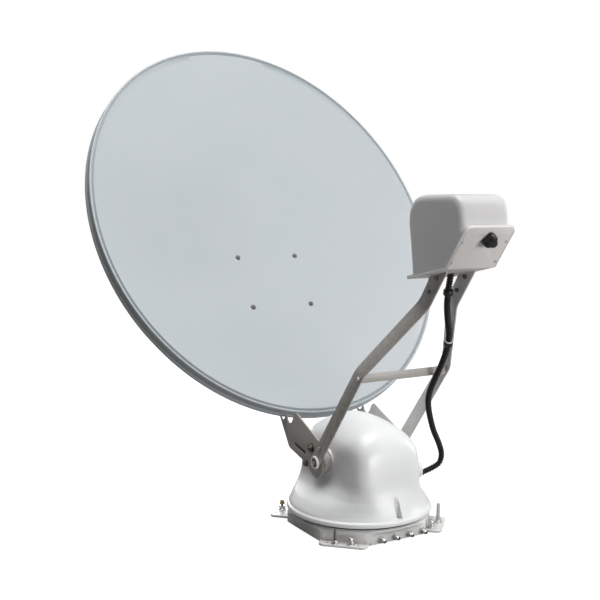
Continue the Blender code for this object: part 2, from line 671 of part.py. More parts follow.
def build_pivots():
    for side, sign in SIDES:
        axis = (sign, 0, 0)
        centre = (0, 0, ELEVATION_Z)
        ring(f"hub_{side}", SHAFT_RADIUS + GAP, 0.025, HUB_X[0], HUB_X[1], "frame_paint", centre, axis, 32)
        ring(f"pivot_washer_{side}", 0.0053, 0.0135, WASHER_X[0], WASHER_X[1], "white_nylon", centre, axis, 24)
        outline = ((0.0, BOLT_HEAD_X[1]), (0.0060, BOLT_HEAD_X[1]), (0.0082, BOLT_HEAD_X[1] - 0.0012),
                   (0.0082, BOLT_HEAD_X[0]), (0.0050, BOLT_HEAD_X[0]), (0.0050, 0.0860), (0.0, 0.0860))
        turned(f"pivot_bolt_{side}", outline, "zinc", centre, axis, 16)
    shaft = rod("elevation_shaft", (-0.0990, 0, ELEVATION_Z), (0.0990, 0, ELEVATION_Z), SHAFT_RADIUS, "steel", 24)
    for side, sign in SIDES:
        cut(shaft, rod(f"bolt_bore_{side}", (sign * 0.0850, 0, ELEVATION_Z), (sign * 0.11, 0, ELEVATION_Z),
                       0.0053, segments=16))
    gear("elevation_gear", ELEVATION_GEAR_TEETH, SHAFT_RADIUS + GAP, 0.0200, 0.0280, 0.0, "steel",
         (0, 0, ELEVATION_Z), "X")


# Feed arms: rear and front ends of each fold line, as (x, y, z) on the arm's outer face.
ARM_STATIONS = (
    ((ARM_OUTER_X, 0.0230, 0.1450), (ARM_OUTER_X, 0.0090, 0.1110)),
    ((ARM_OUTER_X, -0.1438, 0.3589), (ARM_OUTER_X, -0.1687, 0.3453)),
    ((ARM_TOP_X, -0.2456, 0.4971), (ARM_TOP_X, -0.2726, 0.4829)),
    ((ARM_TOP_X, -0.2756, 0.5424), (ARM_TOP_X, -0.3230, 0.5529)),
)


def build_arms():
    for side, sign in SIDES:
        stations = [[(sign * x, y, z) for x, y, z in pair] for pair in ARM_STATIONS]
        arm = strip(f"feed_arm_{side}", stations, SHEET, "frame_paint", offset=sign)
        cut(arm, rod(f"arm_hole_{side}", (sign * 0.09, 0, ELEVATION_Z), (sign * 0.12, 0, ELEVATION_Z), 0.0053,
                     segments=16))
    block("arm_crossbar", (-0.1020, -0.1590, 0.3330), (0.1020, -0.1560, 0.3500), "frame_paint")


# The rim's section: how far out from the lip, and how far behind the rim's plane.
RIM_SECTION = ((0.0, -0.0005), (0.009, -0.0008), (0.009, 0.016), (0.012, 0.021), (0.012, 0.029))


def build_reflector():
    """The dish as one sheet: the paraboloid out to its lip, and a flared rim that turns back round it."""
    segments, rings = 56, 6
    lip = DISH_HALF_WIDTH - RIM_WIDTH
    bm = bmesh.new()
    centre = bm.verts.new(dish_point(0, 0))
    loops = []
    for k in range(1, rings + 1):
        radius = lip * k / rings
        loops.append([
            bm.verts.new(dish_point(radius * math.cos(a), radius * math.sin(a)))
            for a in (2 * math.pi * (j + 0.5) / segments for j in range(segments))
        ])
    for out, behind in RIM_SECTION:
        loop = []
        for j in range(segments):
            a = 2 * math.pi * (j + 0.5) / segments
            edge = DISH_CENTRE + Vector((1, 0, 0)) * (DISH_HALF_WIDTH + out) * math.cos(a)
            edge += DISH_UP * (DISH_HALF_HEIGHT + out) * math.sin(a) - DISH_OUT * behind
            loop.append(bm.verts.new(edge))
        loops.append(loop)
    for j in range(segments):
        bm.faces.new((centre, loops[0][j], loops[0][(j + 1) % segments]))
    for inner, outer in zip(loops, loops[1:]):
        for j in range(segments):
            bm.faces.new((inner[j], outer[j], outer[(j + 1) % segments], inner[(j + 1) % segments]))
    dish = place("reflector", mesh_from(bm, "reflector"), "dish_white")
    if dish.data.polygons[0].normal.dot(DISH_OUT) < 0:
        dish.data.flip_normals()
    shell = dish.modifiers.new("sheet", "SOLIDIFY")
    shell.thickness = DISH_WALL
    shell.offset = -1.0
    for k, (point, normal) in enumerate(dish_bolt_places(), 1):
        hole = rod(f"dish_hole_{k}", point - normal * 0.02, point + normal * 0.02, 0.0030 + GAP, segments=12)
        cut(dish, hole)
        outline = ((0.0, 0.0028), (0.0028, 0.0025), (0.0045, 0.0008), (0.0030, 0.0008), (0.0030, -0.0068),
                   (0.0, -0.0068))
        turned(f"reflector_bolt_{k}", outline, "zinc", point, normal, 12)


# ---- feed --------------------------------------------------------------------------------------
COVER_PROFILE = (
    (-0.2480, 0.5250), (-0.2385, 0.5970), (-0.2325, 0.6420), (-0.2350, 0.6620), (-0.2440, 0.6770),
    (-0.2580, 0.6855), (-0.2800, 0.6880), (-0.3520, 0.6880), (-0.3680, 0.6845), (-0.3780, 0.6740),
    (-0.3825, 0.6560), (-0.3850, 0.6360), (-0.3920, 0.6270), (-0.4060, 0.6150), (-0.4060, 0.5250),
)
COVER_MIDDLE = Vector((-0.310, 0.600))
COVER_STATIONS = ((0.0550, 0.0130), (0.0538, 0.0070), (0.0505, 0.0022), (0.0440, 0.0))
COVER_WALL = 0.003
KNOB_X = 0.0025
KNOB_Z = 0.6125


def cover_case(name, inset, finish=None):
    """The cover's full rounded form, or its inside, before it is cut off along the tray."""
    stations = [(-x, shrink) for x, shrink in COVER_STATIONS] + list(reversed(COVER_STATIONS))
    bm = bmesh.new()
    loops = []
    for x, shrink in stations:
        loop = []
        for y, z in COVER_PROFILE:
            point = Vector((y, z))
            point += (COVER_MIDDLE - point).normalized() * (shrink + inset)
            loop.append(bm.verts.new((x - math.copysign(inset, x), point.x, point.y)))
        loops.append(loop)
    count = len(COVER_PROFILE)
    for a, b in zip(loops, loops[1:]):
        for k in range(count):
            bm.faces.new((a[k], a[(k + 1) % count], b[(k + 1) % count], b[k]))
    bm.faces.new(loops[0])
    bm.faces.new(loops[-1][::-1])
    return place(name, mesh_from(bm, name), finish)


def tray_line(shift):
    """The tray's bent line in Y and Z, moved out of its own plane by a distance towards the cover."""
    points = [Vector(point) for point in TRAY_POINTS]
    normals = []
    for a, b in zip(points, points[1:]):
        run = (b - a).normalized()
        normals.append(Vector((run.y, -run.x)))
    moved = []
    for k, point in enumerate(points):
        own = normals[min(k, len(normals) - 1)]
        way = (normals[max(0, k - 1)] + own).normalized()
        moved.append(point + way * (shift / way.dot(own)))
    return moved


def tray_strip(name, shift, thickness, inset, finish=None):
    stations = []
    for point, half in zip(tray_line(shift), TRAY_HALF_WIDTHS):
        stations.append(((inset - half, point.x, point.y), (half - inset, point.x, point.y)))
    return strip(name, stations, thickness, finish, offset=-1.0)


def under_tray():
    """A cutter for all that lies below the tray's upper face."""
    line = tray_line(SHEET + GAP)
    first = line[0] + (line[0] - line[1]).normalized() * 0.05
    last = line[-1] + (line[-1] - line[-2]).normalized() * 0.07
    corners = [first] + line + [last, Vector((-0.50, last.y)), Vector((-0.50, 0.45)), Vector((first.x, 0.45))]
    return solid_mesh(flat_plate("under_tray", [[tuple(p) for p in corners]], -0.08, 0.16))


def knob_frame():
    """The knob's place on the sloped plate and the way that its axis points out of it."""
    low, high = Vector(TRAY_POINTS[1]), Vector(TRAY_POINTS[2])
    share = (KNOB_Z - low.y) / (high.y - low.y)
    run = (high - low).normalized()
    return Vector((KNOB_X, low.lerp(high, share).x, KNOB_Z)), Vector((0, -run.y, run.x))


def build_feed_case():
    tray = tray_strip("feed_tray", 0.0, SHEET, 0.0035, "tray_paint")
    centre, way = knob_frame()
    cut(tray, rod("knob_hole", centre - way * 0.02, centre + way * 0.02, 0.0045, segments=16))
    end = Vector(CONDUIT_ROUTE[-1])
    cut(tray, rod("conduit_hole", end + Vector((0, 0.0066, -0.03)), end + Vector((0, -0.0044, 0.02)),
                  CONDUIT_RADIUS + 0.0020, segments=16))
    cover = cover_case("feed_cover", 0.0, "gloss_white")
    join(cover, tray_strip("cover_flange", SHEET - 0.001, 0.0037, 0.0005))
    cut(cover, cover_case("cover_inside", COVER_WALL))
    cut(cover, under_tray())
    cut(cover, rod("horn_opening", (0, -0.28, FEED_Z), (0, -0.20, FEED_Z), 0.0300, segments=32))


def build_knob():
    """A three-lobed knob on the sloped plate, with its screw through the plate."""
    centre, way = knob_frame()
    lobes = 3
    outline = []
    for k in range(24):
        a = 2 * math.pi * k / 24
        radius = 0.0120 + 0.0025 * math.cos(lobes * a)
        outline.append((radius * math.sin(a), radius * math.cos(a)))
    head = flat_plate("knob_head", [outline], 0.0008, 0.0155, normal="Z")
    turn = way.to_track_quat("Z", "Y").to_matrix().to_4x4()
    head.matrix_world = Matrix.Translation(centre) @ turn @ head.matrix_world
    knob = rod("skew_knob", centre - way * 0.012, centre + way * 0.012, 0.0038, "black_plastic", 16)
    join(knob, solid_mesh(head))


def build_feed():
    build_feed_case()
    along = (0, 1, 0)
    origin = (0, 0, FEED_Z)
    lnb = ((0.0, -0.2640), (0.0130, -0.2640), (0.0180, -0.2700), (0.0180, -0.3120), (0.0225, -0.3150),
           (0.0225, -0.3480), (0.0120, -0.3520), (0.0, -0.3520))
    turned("lnb", lnb, "cast_alloy", origin, along, 24)
    horn = ((0.0240, -0.2440), (0.0275, -0.2440), (0.0275, -0.2500), (0.0150, -0.2600), (0.0130, -0.2637),
            (0.0105, -0.2637), (0.0105, -0.2580))
    turned("feed_horn", horn, "black_plastic", origin, along, 24, closed=True)
    clamp = solid_mesh(ring("lnb_clamp", 0.0183, 0.0235, -0.3040, -0.2900, "cast_alloy", origin, along, 24))
    clamp.data.materials.clear()
    clamp.data.materials.append(add_material("cast_alloy"))
    join(clamp, block("clamp_foot", (-0.0035, -0.3040, 0.5534), (0.0035, -0.2900, FEED_Z - 0.0190)))

    build_knob()


def build_conduit():
    """A cable conduit along a smooth curve through its route's points, held at both ends."""
    route = [Vector(p) for p in CONDUIT_ROUTE]
    guide = [2 * route[0] - route[1]] + route + [2 * route[-1] - route[-2]]
    steps, points = 3, []
    for p0, p1, p2, p3 in zip(guide, guide[1:], guide[2:], guide[3:]):
        for k in range(steps):
            t = k / steps
            points.append(0.5 * (2 * p1 + (p2 - p0) * t + (2 * p0 - 5 * p1 + 4 * p2 - p3) * t**2
                                 + (3 * p1 - p0 - 3 * p2 + p3) * t**3))
    points.append(route[-1])
    curve = bpy.data.curves.new("conduit", "CURVE")
    curve.dimensions = "3D"
    curve.bevel_depth = CONDUIT_RADIUS
    curve.bevel_resolution = 2
    curve.use_fill_caps = True
    spline = curve.splines.new("POLY")
    spline.points.add(len(points) - 1)
    for point, place_on in zip(spline.points, points):
        point.co = (*place_on, 1.0)
    place("conduit", curve, "rubber")
    return points


def build_conduit_clamps(points):
    """Two clamps that hold the conduit to the right feed arm."""
    for name, height in (("lower", 0.403), ("upper", 0.508)):
        k = min(range(len(points)), key=lambda i: abs(points[i].z - height))
        way = (points[k + 1] - points[k - 1]).normalized()
        clamp = solid_mesh(ring(f"conduit_clamp_{name}", CONDUIT_RADIUS + 0.0008, CONDUIT_RADIUS + 0.0030,
                                -0.005, 0.005, "black_plastic", points[k], way, 20))
        clamp.data.materials.clear()
        clamp.data.materials.append(add_material("black_plastic"))


# ---- assembly ----------------------------------------------------------------------------------
def hang_on_axis(name, origin, members):
    """An empty on a joint's axis, with the pieces that turn about it as its children."""
    axis = bpy.data.objects.new(name, None)
    axis.location = origin
    parts.objects.link(axis)
    for member in members:
        obj = parts.objects[member]
        obj.parent = axis
        obj.matrix_parent_inverse = Matrix.Translation(-Vector(origin))
    return axis


build_base()
build_head()
build_pinions()
build_brackets()
build_pivots()
build_arms()
build_reflector()
build_feed()
build_conduit_clamps(build_conduit())

HEAD_NODES = (
    "turntable", "bearing_inner_ring", "dome", "dome_screw_1", "dome_screw_2", "dome_screw_3", "cable_gland", "chassis",
    "shaft_bearing_left", "shaft_bearing_right", "azimuth_motor", "elevation_motor", "control_board",
)
ELEVATION_NODES = [
    f"{kind}_{side}" for kind in ("hub", "bracket", "feed_arm", "pivot_bolt", "pivot_washer") for side, sign in SIDES
]
ELEVATION_NODES += [f"reflector_bolt_{k}" for k in range(1, 5)]
ELEVATION_NODES += [
    "elevation_shaft", "elevation_gear", "cross_rail_lower", "cross_rail_upper", "arm_crossbar", "reflector",
    "feed_tray", "feed_cover", "lnb_clamp", "conduit", "conduit_clamp_lower", "conduit_clamp_upper",
]
hang_on_axis("azimuth_axis", (0, 0, 0), HEAD_NODES)
hang_on_axis("elevation_axis", (0, 0, ELEVATION_Z), ELEVATION_NODES)
hang_on_axis("azimuth_pinion_axis", (0, -GEAR_CENTRES[0], 0), ["azimuth_pinion"])
hang_on_axis("elevation_pinion_axis", (0, GEAR_CENTRES[1], ELEVATION_Z), ["elevation_pinion"])
hang_on_axis("skew_axis", (0, -0.35, FEED_Z), ["lnb", "feed_horn"])
hang_on_axis("knob_axis", knob_frame()[0], ["skew_knob"])
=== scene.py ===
"""Visual model of the motorised offset satellite dish antenna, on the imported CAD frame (metres, +Z up)."""

import math

import bmesh
import bpy
from mathutils import Matrix, Vector


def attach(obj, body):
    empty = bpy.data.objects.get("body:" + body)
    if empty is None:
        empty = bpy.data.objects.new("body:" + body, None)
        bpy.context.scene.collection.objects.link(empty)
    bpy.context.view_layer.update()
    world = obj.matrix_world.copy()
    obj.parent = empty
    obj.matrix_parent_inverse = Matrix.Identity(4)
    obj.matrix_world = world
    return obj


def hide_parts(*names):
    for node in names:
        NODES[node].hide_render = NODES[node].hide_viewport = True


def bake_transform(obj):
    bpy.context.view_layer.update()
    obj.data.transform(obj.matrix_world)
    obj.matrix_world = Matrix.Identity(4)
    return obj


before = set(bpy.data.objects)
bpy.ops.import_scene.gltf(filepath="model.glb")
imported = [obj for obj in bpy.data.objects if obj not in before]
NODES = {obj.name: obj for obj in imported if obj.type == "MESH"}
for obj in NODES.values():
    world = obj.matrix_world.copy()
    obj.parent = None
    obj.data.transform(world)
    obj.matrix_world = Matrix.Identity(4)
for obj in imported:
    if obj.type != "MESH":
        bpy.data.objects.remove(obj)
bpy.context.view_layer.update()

# ---- driving dimensions, the same as the CAD part's ---------------------------------------------
SIDES = (("left", -1), ("right", 1))
SHEET = 0.003

DISH_HALF_WIDTH = 0.437
DISH_HALF_HEIGHT = 0.499
DISH_OFFSET_ANGLE = math.radians(29.59)
DISH_FOCAL_LENGTH = 0.515
DISH_TILT = math.radians(31.75)
DISH_CENTRE = Vector((0.0, 0.3845, 0.6447))
DISH_WALL = 0.0022
RIM_WIDTH = 0.004
DISH_BOLT_HALF_PITCH = 0.0795
DISH_BOLT_UP = (-0.0217, -0.1475)

BASE_HALF = 0.137
BASE_HEIGHT = 0.03
BASE_DIAGONAL = 0.147
BASE_TOP_RADIUS = 0.15
BASE_HOLE_RADIUS = 0.096
# Corner lugs: side, front or rear, reach, width towards the front and towards the rear, and spare holes.
LUGS = {
    "front_left": (-1, -1, 0.168, 0.049, 0.049, (-0.031, 0.031)),
    "front_right": (1, -1, 0.18, 0.036, 0.055, (0.039,)),
    "rear_right": (1, 1, 0.19, 0.031, 0.055, (-0.015, 0.039)),
    "rear_left": (-1, 1, 0.19, 0.031, 0.055, (-0.015, 0.039)),
}
LUG_THICKNESS = 0.0045
CONNECTOR_X = (-0.038, -0.0037, 0.0306, 0.0646)
CONNECTOR_Z = 0.0085

ELEVATION_Z = 0.141
BOSS_FACE_X = 0.084
HUB_X = (0.085, 0.0992)
BRACKET_X = (0.0995, 0.1025)
ARM_OUTER_X = 0.1058
ARM_TOP_X = 0.0339
FEED_Z = 0.597

TRAY_POINTS = ((-0.238, 0.535), (-0.347, 0.559), (-0.392, 0.62), (-0.4003, 0.632))
TRAY_HALF_WIDTH = 0.057
TRAY_CORNER = 0.012
KNOB_X = 0.0025
KNOB_Z = 0.6125
CONDUIT_RADIUS = 0.0062
CONDUIT_ROUTE = (
    (0.076, -0.0703, 0.11), (0.09, -0.0763, 0.11), (0.1034, -0.082, 0.11),
    (0.1178, -0.085, 0.1143), (0.1323, -0.0882, 0.12), (0.1415, -0.0912, 0.1262),
    (0.145, -0.0938, 0.1345), (0.1446, -0.097, 0.146), (0.139, -0.1, 0.162),
    (0.1254, -0.105, 0.1851), (0.114, -0.109, 0.2023), (0.102, -0.1155, 0.223),
    (0.0861, -0.127, 0.2513), (0.0742, -0.139, 0.2787), (0.0685, -0.152, 0.3014),
    (0.068, -0.168, 0.3286), (0.067, -0.187, 0.3581), (0.0635, -0.204, 0.3838),
    (0.0572, -0.219, 0.4064), (0.047, -0.234, 0.429), (0.029, -0.251, 0.456),
    (0.016, -0.264, 0.488), (0.011, -0.274, 0.52), (0.009, -0.281, 0.54),
    (0.009, -0.285, 0.556),
)

# ---- camera ------------------------------------------------------------------------------------
CAMERA_AT = Vector((-1.0456, -1.5566, 0.6615))
CAMERA_TARGET = Vector((-0.1084, 0.0627, 0.4732))
CAMERA_LENS = 54.0


def linked(name, data):
    obj = bpy.data.objects.new(name, data)
    bpy.context.scene.collection.objects.link(obj)
    return obj


def aimed(name, data, place, target):
    """A camera or light at a place, turned to its target."""
    obj = linked(name, data)
    obj.location = place
    obj.rotation_euler = (Vector(target) - Vector(place)).to_track_quat("-Z", "Y").to_euler()
    return obj


def add_camera():
    data = bpy.data.cameras.new("camera")
    data.lens = CAMERA_LENS
    bpy.context.scene.camera = aimed("camera", data, CAMERA_AT, CAMERA_TARGET)


# ---- materials ---------------------------------------------------------------------------------
WHITE = (1.0, 1.0, 1.0)
# Brownish dark for grime specks, and for painted shade in the hollows.
GRIME_AND_SHADE = (0.16, 0.14, 0.12)
# Near black for grime and painted shade in the metal's hollows.
METAL_GRIME_AND_SHADE = (0.05, 0.045, 0.04)
SLEEVE_STRANDS = 8.0
SLEEVE_PICKS_PER_METRE = 310.0


class Nodes:
    """Adds and links the nodes of one material or world."""

    def __init__(self, owner, shader="Principled BSDF"):
        owner.use_nodes = True
        self.owner = owner
        self.tree = owner.node_tree
        self.shader = self.tree.nodes[shader]

    def put(self, socket, value):
        """Links a socket to another node's output, or sets it to a number, a vector or a colour."""
        if isinstance(value, bpy.types.NodeSocket):
            self.tree.links.new(value, socket)
        else:
            socket.default_value = (*value, 1.0) if socket.type == "RGBA" else value

    def add(self, kind, inputs=None, **settings):
        made = self.tree.nodes.new(kind)
        for key, value in settings.items():
            setattr(made, key, value)
        for key, value in (inputs or {}).items():
            self.put(made.inputs[key], value)
        return made

    def shade(self, inputs):
        """Sets the shader's own inputs, and gives back the material or world."""
        for key, value in inputs.items():
            self.put(self.shader.inputs[key], value)
        return self.owner

    def compute(self, operation, *values):
        return self.add("ShaderNodeMath", dict(enumerate(values)), operation=operation).outputs[0]

    def place(self, stretch=(1, 1, 1)):
        """Object coordinates, stretched for a grain that runs along an axis."""
        coords = self.add("ShaderNodeTexCoord").outputs["Object"]
        return self.add("ShaderNodeMapping", {"Vector": coords, "Scale": stretch}).outputs["Vector"]

    def noise(self, scale, detail, rough=0.55, stretch=(1, 1, 1)):
        inputs = {"Vector": self.place(stretch), "Scale": scale, "Detail": detail, "Roughness": rough}
        return self.add("ShaderNodeTexNoise", inputs).outputs["Fac"]

    def spread(self, value, low, high, start=0.35, end=0.65):
        """Maps a factor's middle range onto a range of values."""
        inputs = {"Value": value, "From Min": start, "From Max": end, "To Min": low, "To Max": high}
        return self.add("ShaderNodeMapRange", inputs).outputs["Result"]

    def patches(self, scale, detail, low, high, start=0.35, end=0.65):
        """Noise whose middle range runs from low to high."""
        return self.spread(self.noise(scale, detail), low, high, start, end)

    def mix(self, factor, a, b):
        return self.add("ShaderNodeMix", {0: factor, 6: a, 7: b}, data_type="RGBA").outputs[2]

    def bump(self, height, strength, distance, under=None):
        inputs = {"Height": height, "Strength": strength, "Distance": distance}
        if under is not None:
            inputs["Normal"] = under
        return self.add("ShaderNodeBump", inputs).outputs["Normal"]

    def edges(self, start, end):
        """Goes from 0 to 1 as the surface's pointiness goes from start to end."""
        point = self.add("ShaderNodeNewGeometry").outputs["Pointiness"]
        return self.spread(point, 0.0, 1.0, start, end)

    def worn_edges(self, start=0.52, end=0.6):
        """1 on the sharp outer edges, broken up by noise."""
        patches = self.patches(90.0, 4.0, 0.0, 1.0, 0.45, 0.62)
        return self.compute("MULTIPLY", self.edges(start, end), patches)

    def hollows(self):
        """1 in the hollows, where grime stays and where shade is painted."""
        return self.edges(0.5, 0.44)


def material_nodes(name):
    return Nodes(bpy.data.materials.new(name))


def paint(name, color, shade, roughness, peel, hollow_grime_and_shade, coat=0.0, wear=None):
    """Sprayed paint: faint mottling, orange peel, grime and painted shade in its corners and, if asked for,
    worn edges.
    """
    n = material_nodes(name)
    tint = n.mix(n.patches(7.0, 2.0, 0.0, 1.0), color, shade)
    # Darker in the hollows: grime there, and painted shade.
    tint = n.mix(n.compute("MULTIPLY", n.hollows(), hollow_grime_and_shade), tint, GRIME_AND_SHADE)
    tint = n.mix(n.patches(420.0, 2.0, 0.0, 0.1, 0.62, 0.7), tint, GRIME_AND_SHADE)
    if wear:
        tint = n.mix(n.worn_edges(), tint, wear)
    fine_peel = n.bump(n.noise(260.0, 2.0), peel, 0.0006)
    return n.shade({
        "Base Color": tint,
        "Roughness": n.patches(35.0, 4.0, *roughness),
        "Normal": n.bump(n.noise(30.0, 2.0), peel * 0.5, 0.0015, fine_peel),
        "Coat Weight": coat,
        "Coat Roughness": 0.16,
    })


def bare_metal(name, color, shade, roughness, stretch=(1, 1, 1), scratch=0.12, tarnish=None):
    """Plated or bare metal with a brushed grain, stains, dull patches, and grime and painted shade in its
    hollows.
    """
    n = material_nodes(name)
    grain = n.noise(600.0, 3.0, 0.6, stretch)
    tint = n.mix(n.patches(60.0, 4.0, 0.0, 1.0), color, shade)
    if tarnish:
        tint = n.mix(n.patches(140.0, 5.0, 0.0, 0.8, 0.52, 0.66), tint, tarnish)
    return n.shade({
        # Darker in the hollows: grime there, and painted shade.
        "Base Color": n.mix(n.spread(n.hollows(), 0.0, 0.7, 0.0, 1.0), tint, METAL_GRIME_AND_SHADE),
        "Roughness": n.spread(grain, *roughness),
        "Normal": n.bump(grain, scratch, 0.0003),
        "Metallic": 1.0,
    })


def plastic(name, color, shade, roughness, grain=0.12):
    """Moulded plastic with a fine spark-eroded grain and rubbed edges."""
    n = material_nodes(name)
    tint = n.mix(n.patches(25.0, 3.0, 0.0, 1.0), color, shade)
    rubbed = tuple(min(1.0, c * 1.3 + 0.02) for c in color)
    return n.shade({
        "Base Color": n.mix(n.worn_edges(0.53, 0.64), tint, rubbed),
        "Roughness": n.patches(80.0, 4.0, *roughness),
        "Normal": n.bump(n.noise(500.0, 2.0), grain, 0.0003),
    })


def woven_sleeve(name):
    """Black braided sleeving: two sets of strands that wind opposite ways round the tube."""
    n = material_nodes(name)
    route = n.add("ShaderNodeUVMap", uv_map="sleeve").outputs["UV"]
    split = n.add("ShaderNodeSeparateXYZ", {"Vector": route}).outputs
    waves = []
    for way in (SLEEVE_STRANDS, -SLEEVE_STRANDS):
        turn = n.compute("MULTIPLY", split["Y"], way)
        run = n.compute("MULTIPLY_ADD", split["X"], SLEEVE_PICKS_PER_METRE, turn)
        waves.append(n.compute("SINE", n.compute("MULTIPLY", run, 2 * math.pi)))
    height = n.spread(n.compute("MAXIMUM", *waves), 0.0, 1.0, -0.4, 1.0)
    dust = n.patches(160.0, 4.0, 0.0, 0.5, 0.55, 0.75)
    # The troughs between the strands are darker than their crowns: painted shade between the strands.
    tint = n.mix(height, (0.003, 0.003, 0.004), (0.018, 0.018, 0.021))
    return n.shade({
        "Base Color": n.mix(dust, tint, (0.022, 0.021, 0.02)),
        "Roughness": n.spread(height, 0.62, 0.38, 0.0, 1.0),
        "Specular IOR Level": 0.25,
        "Normal": n.bump(height, 0.55, 0.0006),
    })


def circuit_board(name):
    """Green solder mask with lighter tracks."""
    n = material_nodes(name)
    inputs = {"Vector": n.place((60, 1, 60)), "Scale": 3.0, "Mortar Size": 0.03}
    tracks = n.add("ShaderNodeTexBrick", inputs).outputs["Fac"]
    tint = n.mix(tracks, (0.015, 0.1, 0.04), (0.05, 0.24, 0.09))
    return n.shade({
        "Base Color": n.mix(n.patches(120.0, 3.0, 0.0, 0.5), tint, (0.02, 0.13, 0.05)),
        "Roughness": n.patches(60.0, 2.0, 0.28, 0.42),
        "Normal": n.bump(tracks, 0.3, 0.0002),
    })


# Paints: colour, shade, range of roughness, orange peel, grime and painted shade in the hollows.
# The dish's face and rim share one paint, split into two copies by how light falls: a darker copy for the
# strongly lit face and a lighter copy for the rim, whose sides lie in shade. Painted light on the rim,
# painted shade on the face.
DISH_PAINT_DARKER_FOR_LIT_FACE = paint("dish_paint_darker_for_lit_face", (0.388, 0.42, 0.44), (0.378, 0.411, 0.433), (0.34, 0.42), 0.1, 0.0)
RIM_PAINT_LIGHTER_FOR_SHADED_RIM = paint("rim_paint_lighter_for_shaded_rim", (0.8, 0.806, 0.812), (0.77, 0.778, 0.786), (0.3, 0.42), 0.1, 0.2)
GLOSS_WHITE = paint("gloss_white", (0.77, 0.778, 0.782), (0.75, 0.758, 0.764), (0.3, 0.4), 0.08, 0.12,
                    coat=0.12)
COVER_WHITE = paint("cover_white", (0.56, 0.55, 0.552), (0.548, 0.538, 0.541), (0.32, 0.35), 0.06, 0.0)
BASE_PAINT = paint("base_paint", (0.7, 0.7, 0.69), (0.665, 0.66, 0.645), (0.28, 0.4), 0.14, 0.5,
                   wear=(0.62, 0.61, 0.6))
# One frame paint in two copies: a darker one for the left bracket and arm, whose outer faces lie in shade
# (the hubs use it too), and a lighter one for the right bracket and arm, whose inner faces catch light.
# Painted shade on the left, painted light on the right.
FRAME_PAINT_SHADED_COPY = paint("frame_paint", (0.4, 0.375, 0.35), (0.37, 0.345, 0.32), (0.3, 0.42), 0.16, 0.5,
                    wear=(0.66, 0.64, 0.62))
FRAME_PAINT_LIT_COPY = paint("frame_paint_lit_copy", (0.66, 0.645, 0.63), (0.63, 0.615, 0.6), (0.28, 0.4), 0.14, 0.2)
RAIL_PAINT = paint("rail_paint", (0.44, 0.415, 0.39), (0.41, 0.385, 0.36), (0.3, 0.42), 0.16, 0.0)
TRAY_PAINT = paint("tray_paint", (0.72, 0.69, 0.67), (0.69, 0.66, 0.642), (0.32, 0.44), 0.14, 0.4)
# The left side takes the darker copy and the right side the lighter one: painted shade and painted light by
# side.
SHADED_AND_LIT_SIDE_PAINTS = {"left": FRAME_PAINT_SHADED_COPY, "right": FRAME_PAINT_LIT_COPY}

# Metals and plastics: colour, shade, range of roughness.
ZINC = bare_metal("zinc_plate", (0.8, 0.8, 0.79), (0.66, 0.66, 0.64), (0.2, 0.36), tarnish=(0.46, 0.44, 0.4))
DARK_STEEL = bare_metal("dark_steel", (0.26, 0.25, 0.24), (0.16, 0.15, 0.14), (0.3, 0.5),
                        tarnish=(0.18, 0.13, 0.09))
STEEL = bare_metal("machined_steel", (0.52, 0.52, 0.53), (0.42, 0.42, 0.42), (0.22, 0.38), (1, 1, 6))
BRASS = bare_metal("brass", (0.62, 0.47, 0.22), (0.45, 0.34, 0.15), (0.24, 0.42), tarnish=(0.26, 0.2, 0.11))
CAST_ALLOY = bare_metal("cast_alloy", (0.5, 0.5, 0.51), (0.4, 0.4, 0.41), (0.4, 0.58), scratch=0.35)
WHITE_NYLON = plastic("white_nylon", (0.78, 0.78, 0.765), (0.74, 0.738, 0.72), (0.32, 0.44))
BLACK_PLASTIC = plastic("black_plastic", (0.006, 0.006, 0.007), (0.01, 0.01, 0.011), (0.34, 0.5))
RUBBER = plastic("rubber_seal", (0.012, 0.012, 0.012), (0.02, 0.019, 0.018), (0.62, 0.8), grain=0.3)
SLEEVE = woven_sleeve("woven_sleeve")
BOARD = circuit_board("circuit_board")


# ---- mesh helpers ------------------------------------------------------------------------------
UP = (0, 0, 1)
MERGE_DISTANCE = 1e-6


def show(obj, body, material, replaces=(), angle=38):
    """Gives a finished piece its material and body, and hides the CAD nodes that it stands for."""
    obj.data.materials.clear()
    for one in material if isinstance(material, tuple) else (material,):
        obj.data.materials.append(one)
    obj.data.shade_smooth()
    obj.data.set_sharp_from_angle(angle=math.radians(angle))
    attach(obj, body)
    if replaces:
        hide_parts(*replaces)


def new_object(name, bm, outward=True):
    """An object from a bmesh, its faces turned outward unless the sheet is still open."""
    if outward:
        bmesh.ops.recalc_face_normals(bm, faces=bm.faces)
    mesh = bpy.data.meshes.new(name)
    bm.to_mesh(mesh)
    bm.free()
    return linked(name, mesh)


def evaluated_mesh(obj):
    graph = bpy.context.evaluated_depsgraph_get()
    return bpy.data.meshes.new_from_object(obj.evaluated_get(graph))


def applied(obj):
    """The same object with its modifiers turned into mesh."""
    mesh = evaluated_mesh(obj)
    obj.modifiers.clear()
    obj.data = mesh
    return obj


def angles(count, shift=0.0):
    """Evenly spaced angles round a full turn."""
    return [2 * math.pi * (k + shift) / count for k in range(count)]


def skin(bm, rows):
    """Faces between neighbouring rows of vertices, and over the two ends. Gives back the side faces."""
    count = len(rows[0])
    sides = []
    for a, b in zip(rows, rows[1:]):
        for k in range(count):
            sides.append(bm.faces.new((a[k], a[(k + 1) % count], b[(k + 1) % count], b[k])))
    bm.faces.new(rows[0])
    bm.faces.new(rows[-1])
    return sides


def loft(name, loops):
    """A closed skin over loops that all have as many points."""
    bm = bmesh.new()
    skin(bm, [[bm.verts.new(point) for point in loop] for loop in loops])
    return new_object(name, bm)


def axis_frame(origin, axis):
    return Matrix.Translation(origin) @ Vector(axis).to_track_quat("Z", "Y").to_matrix().to_4x4()


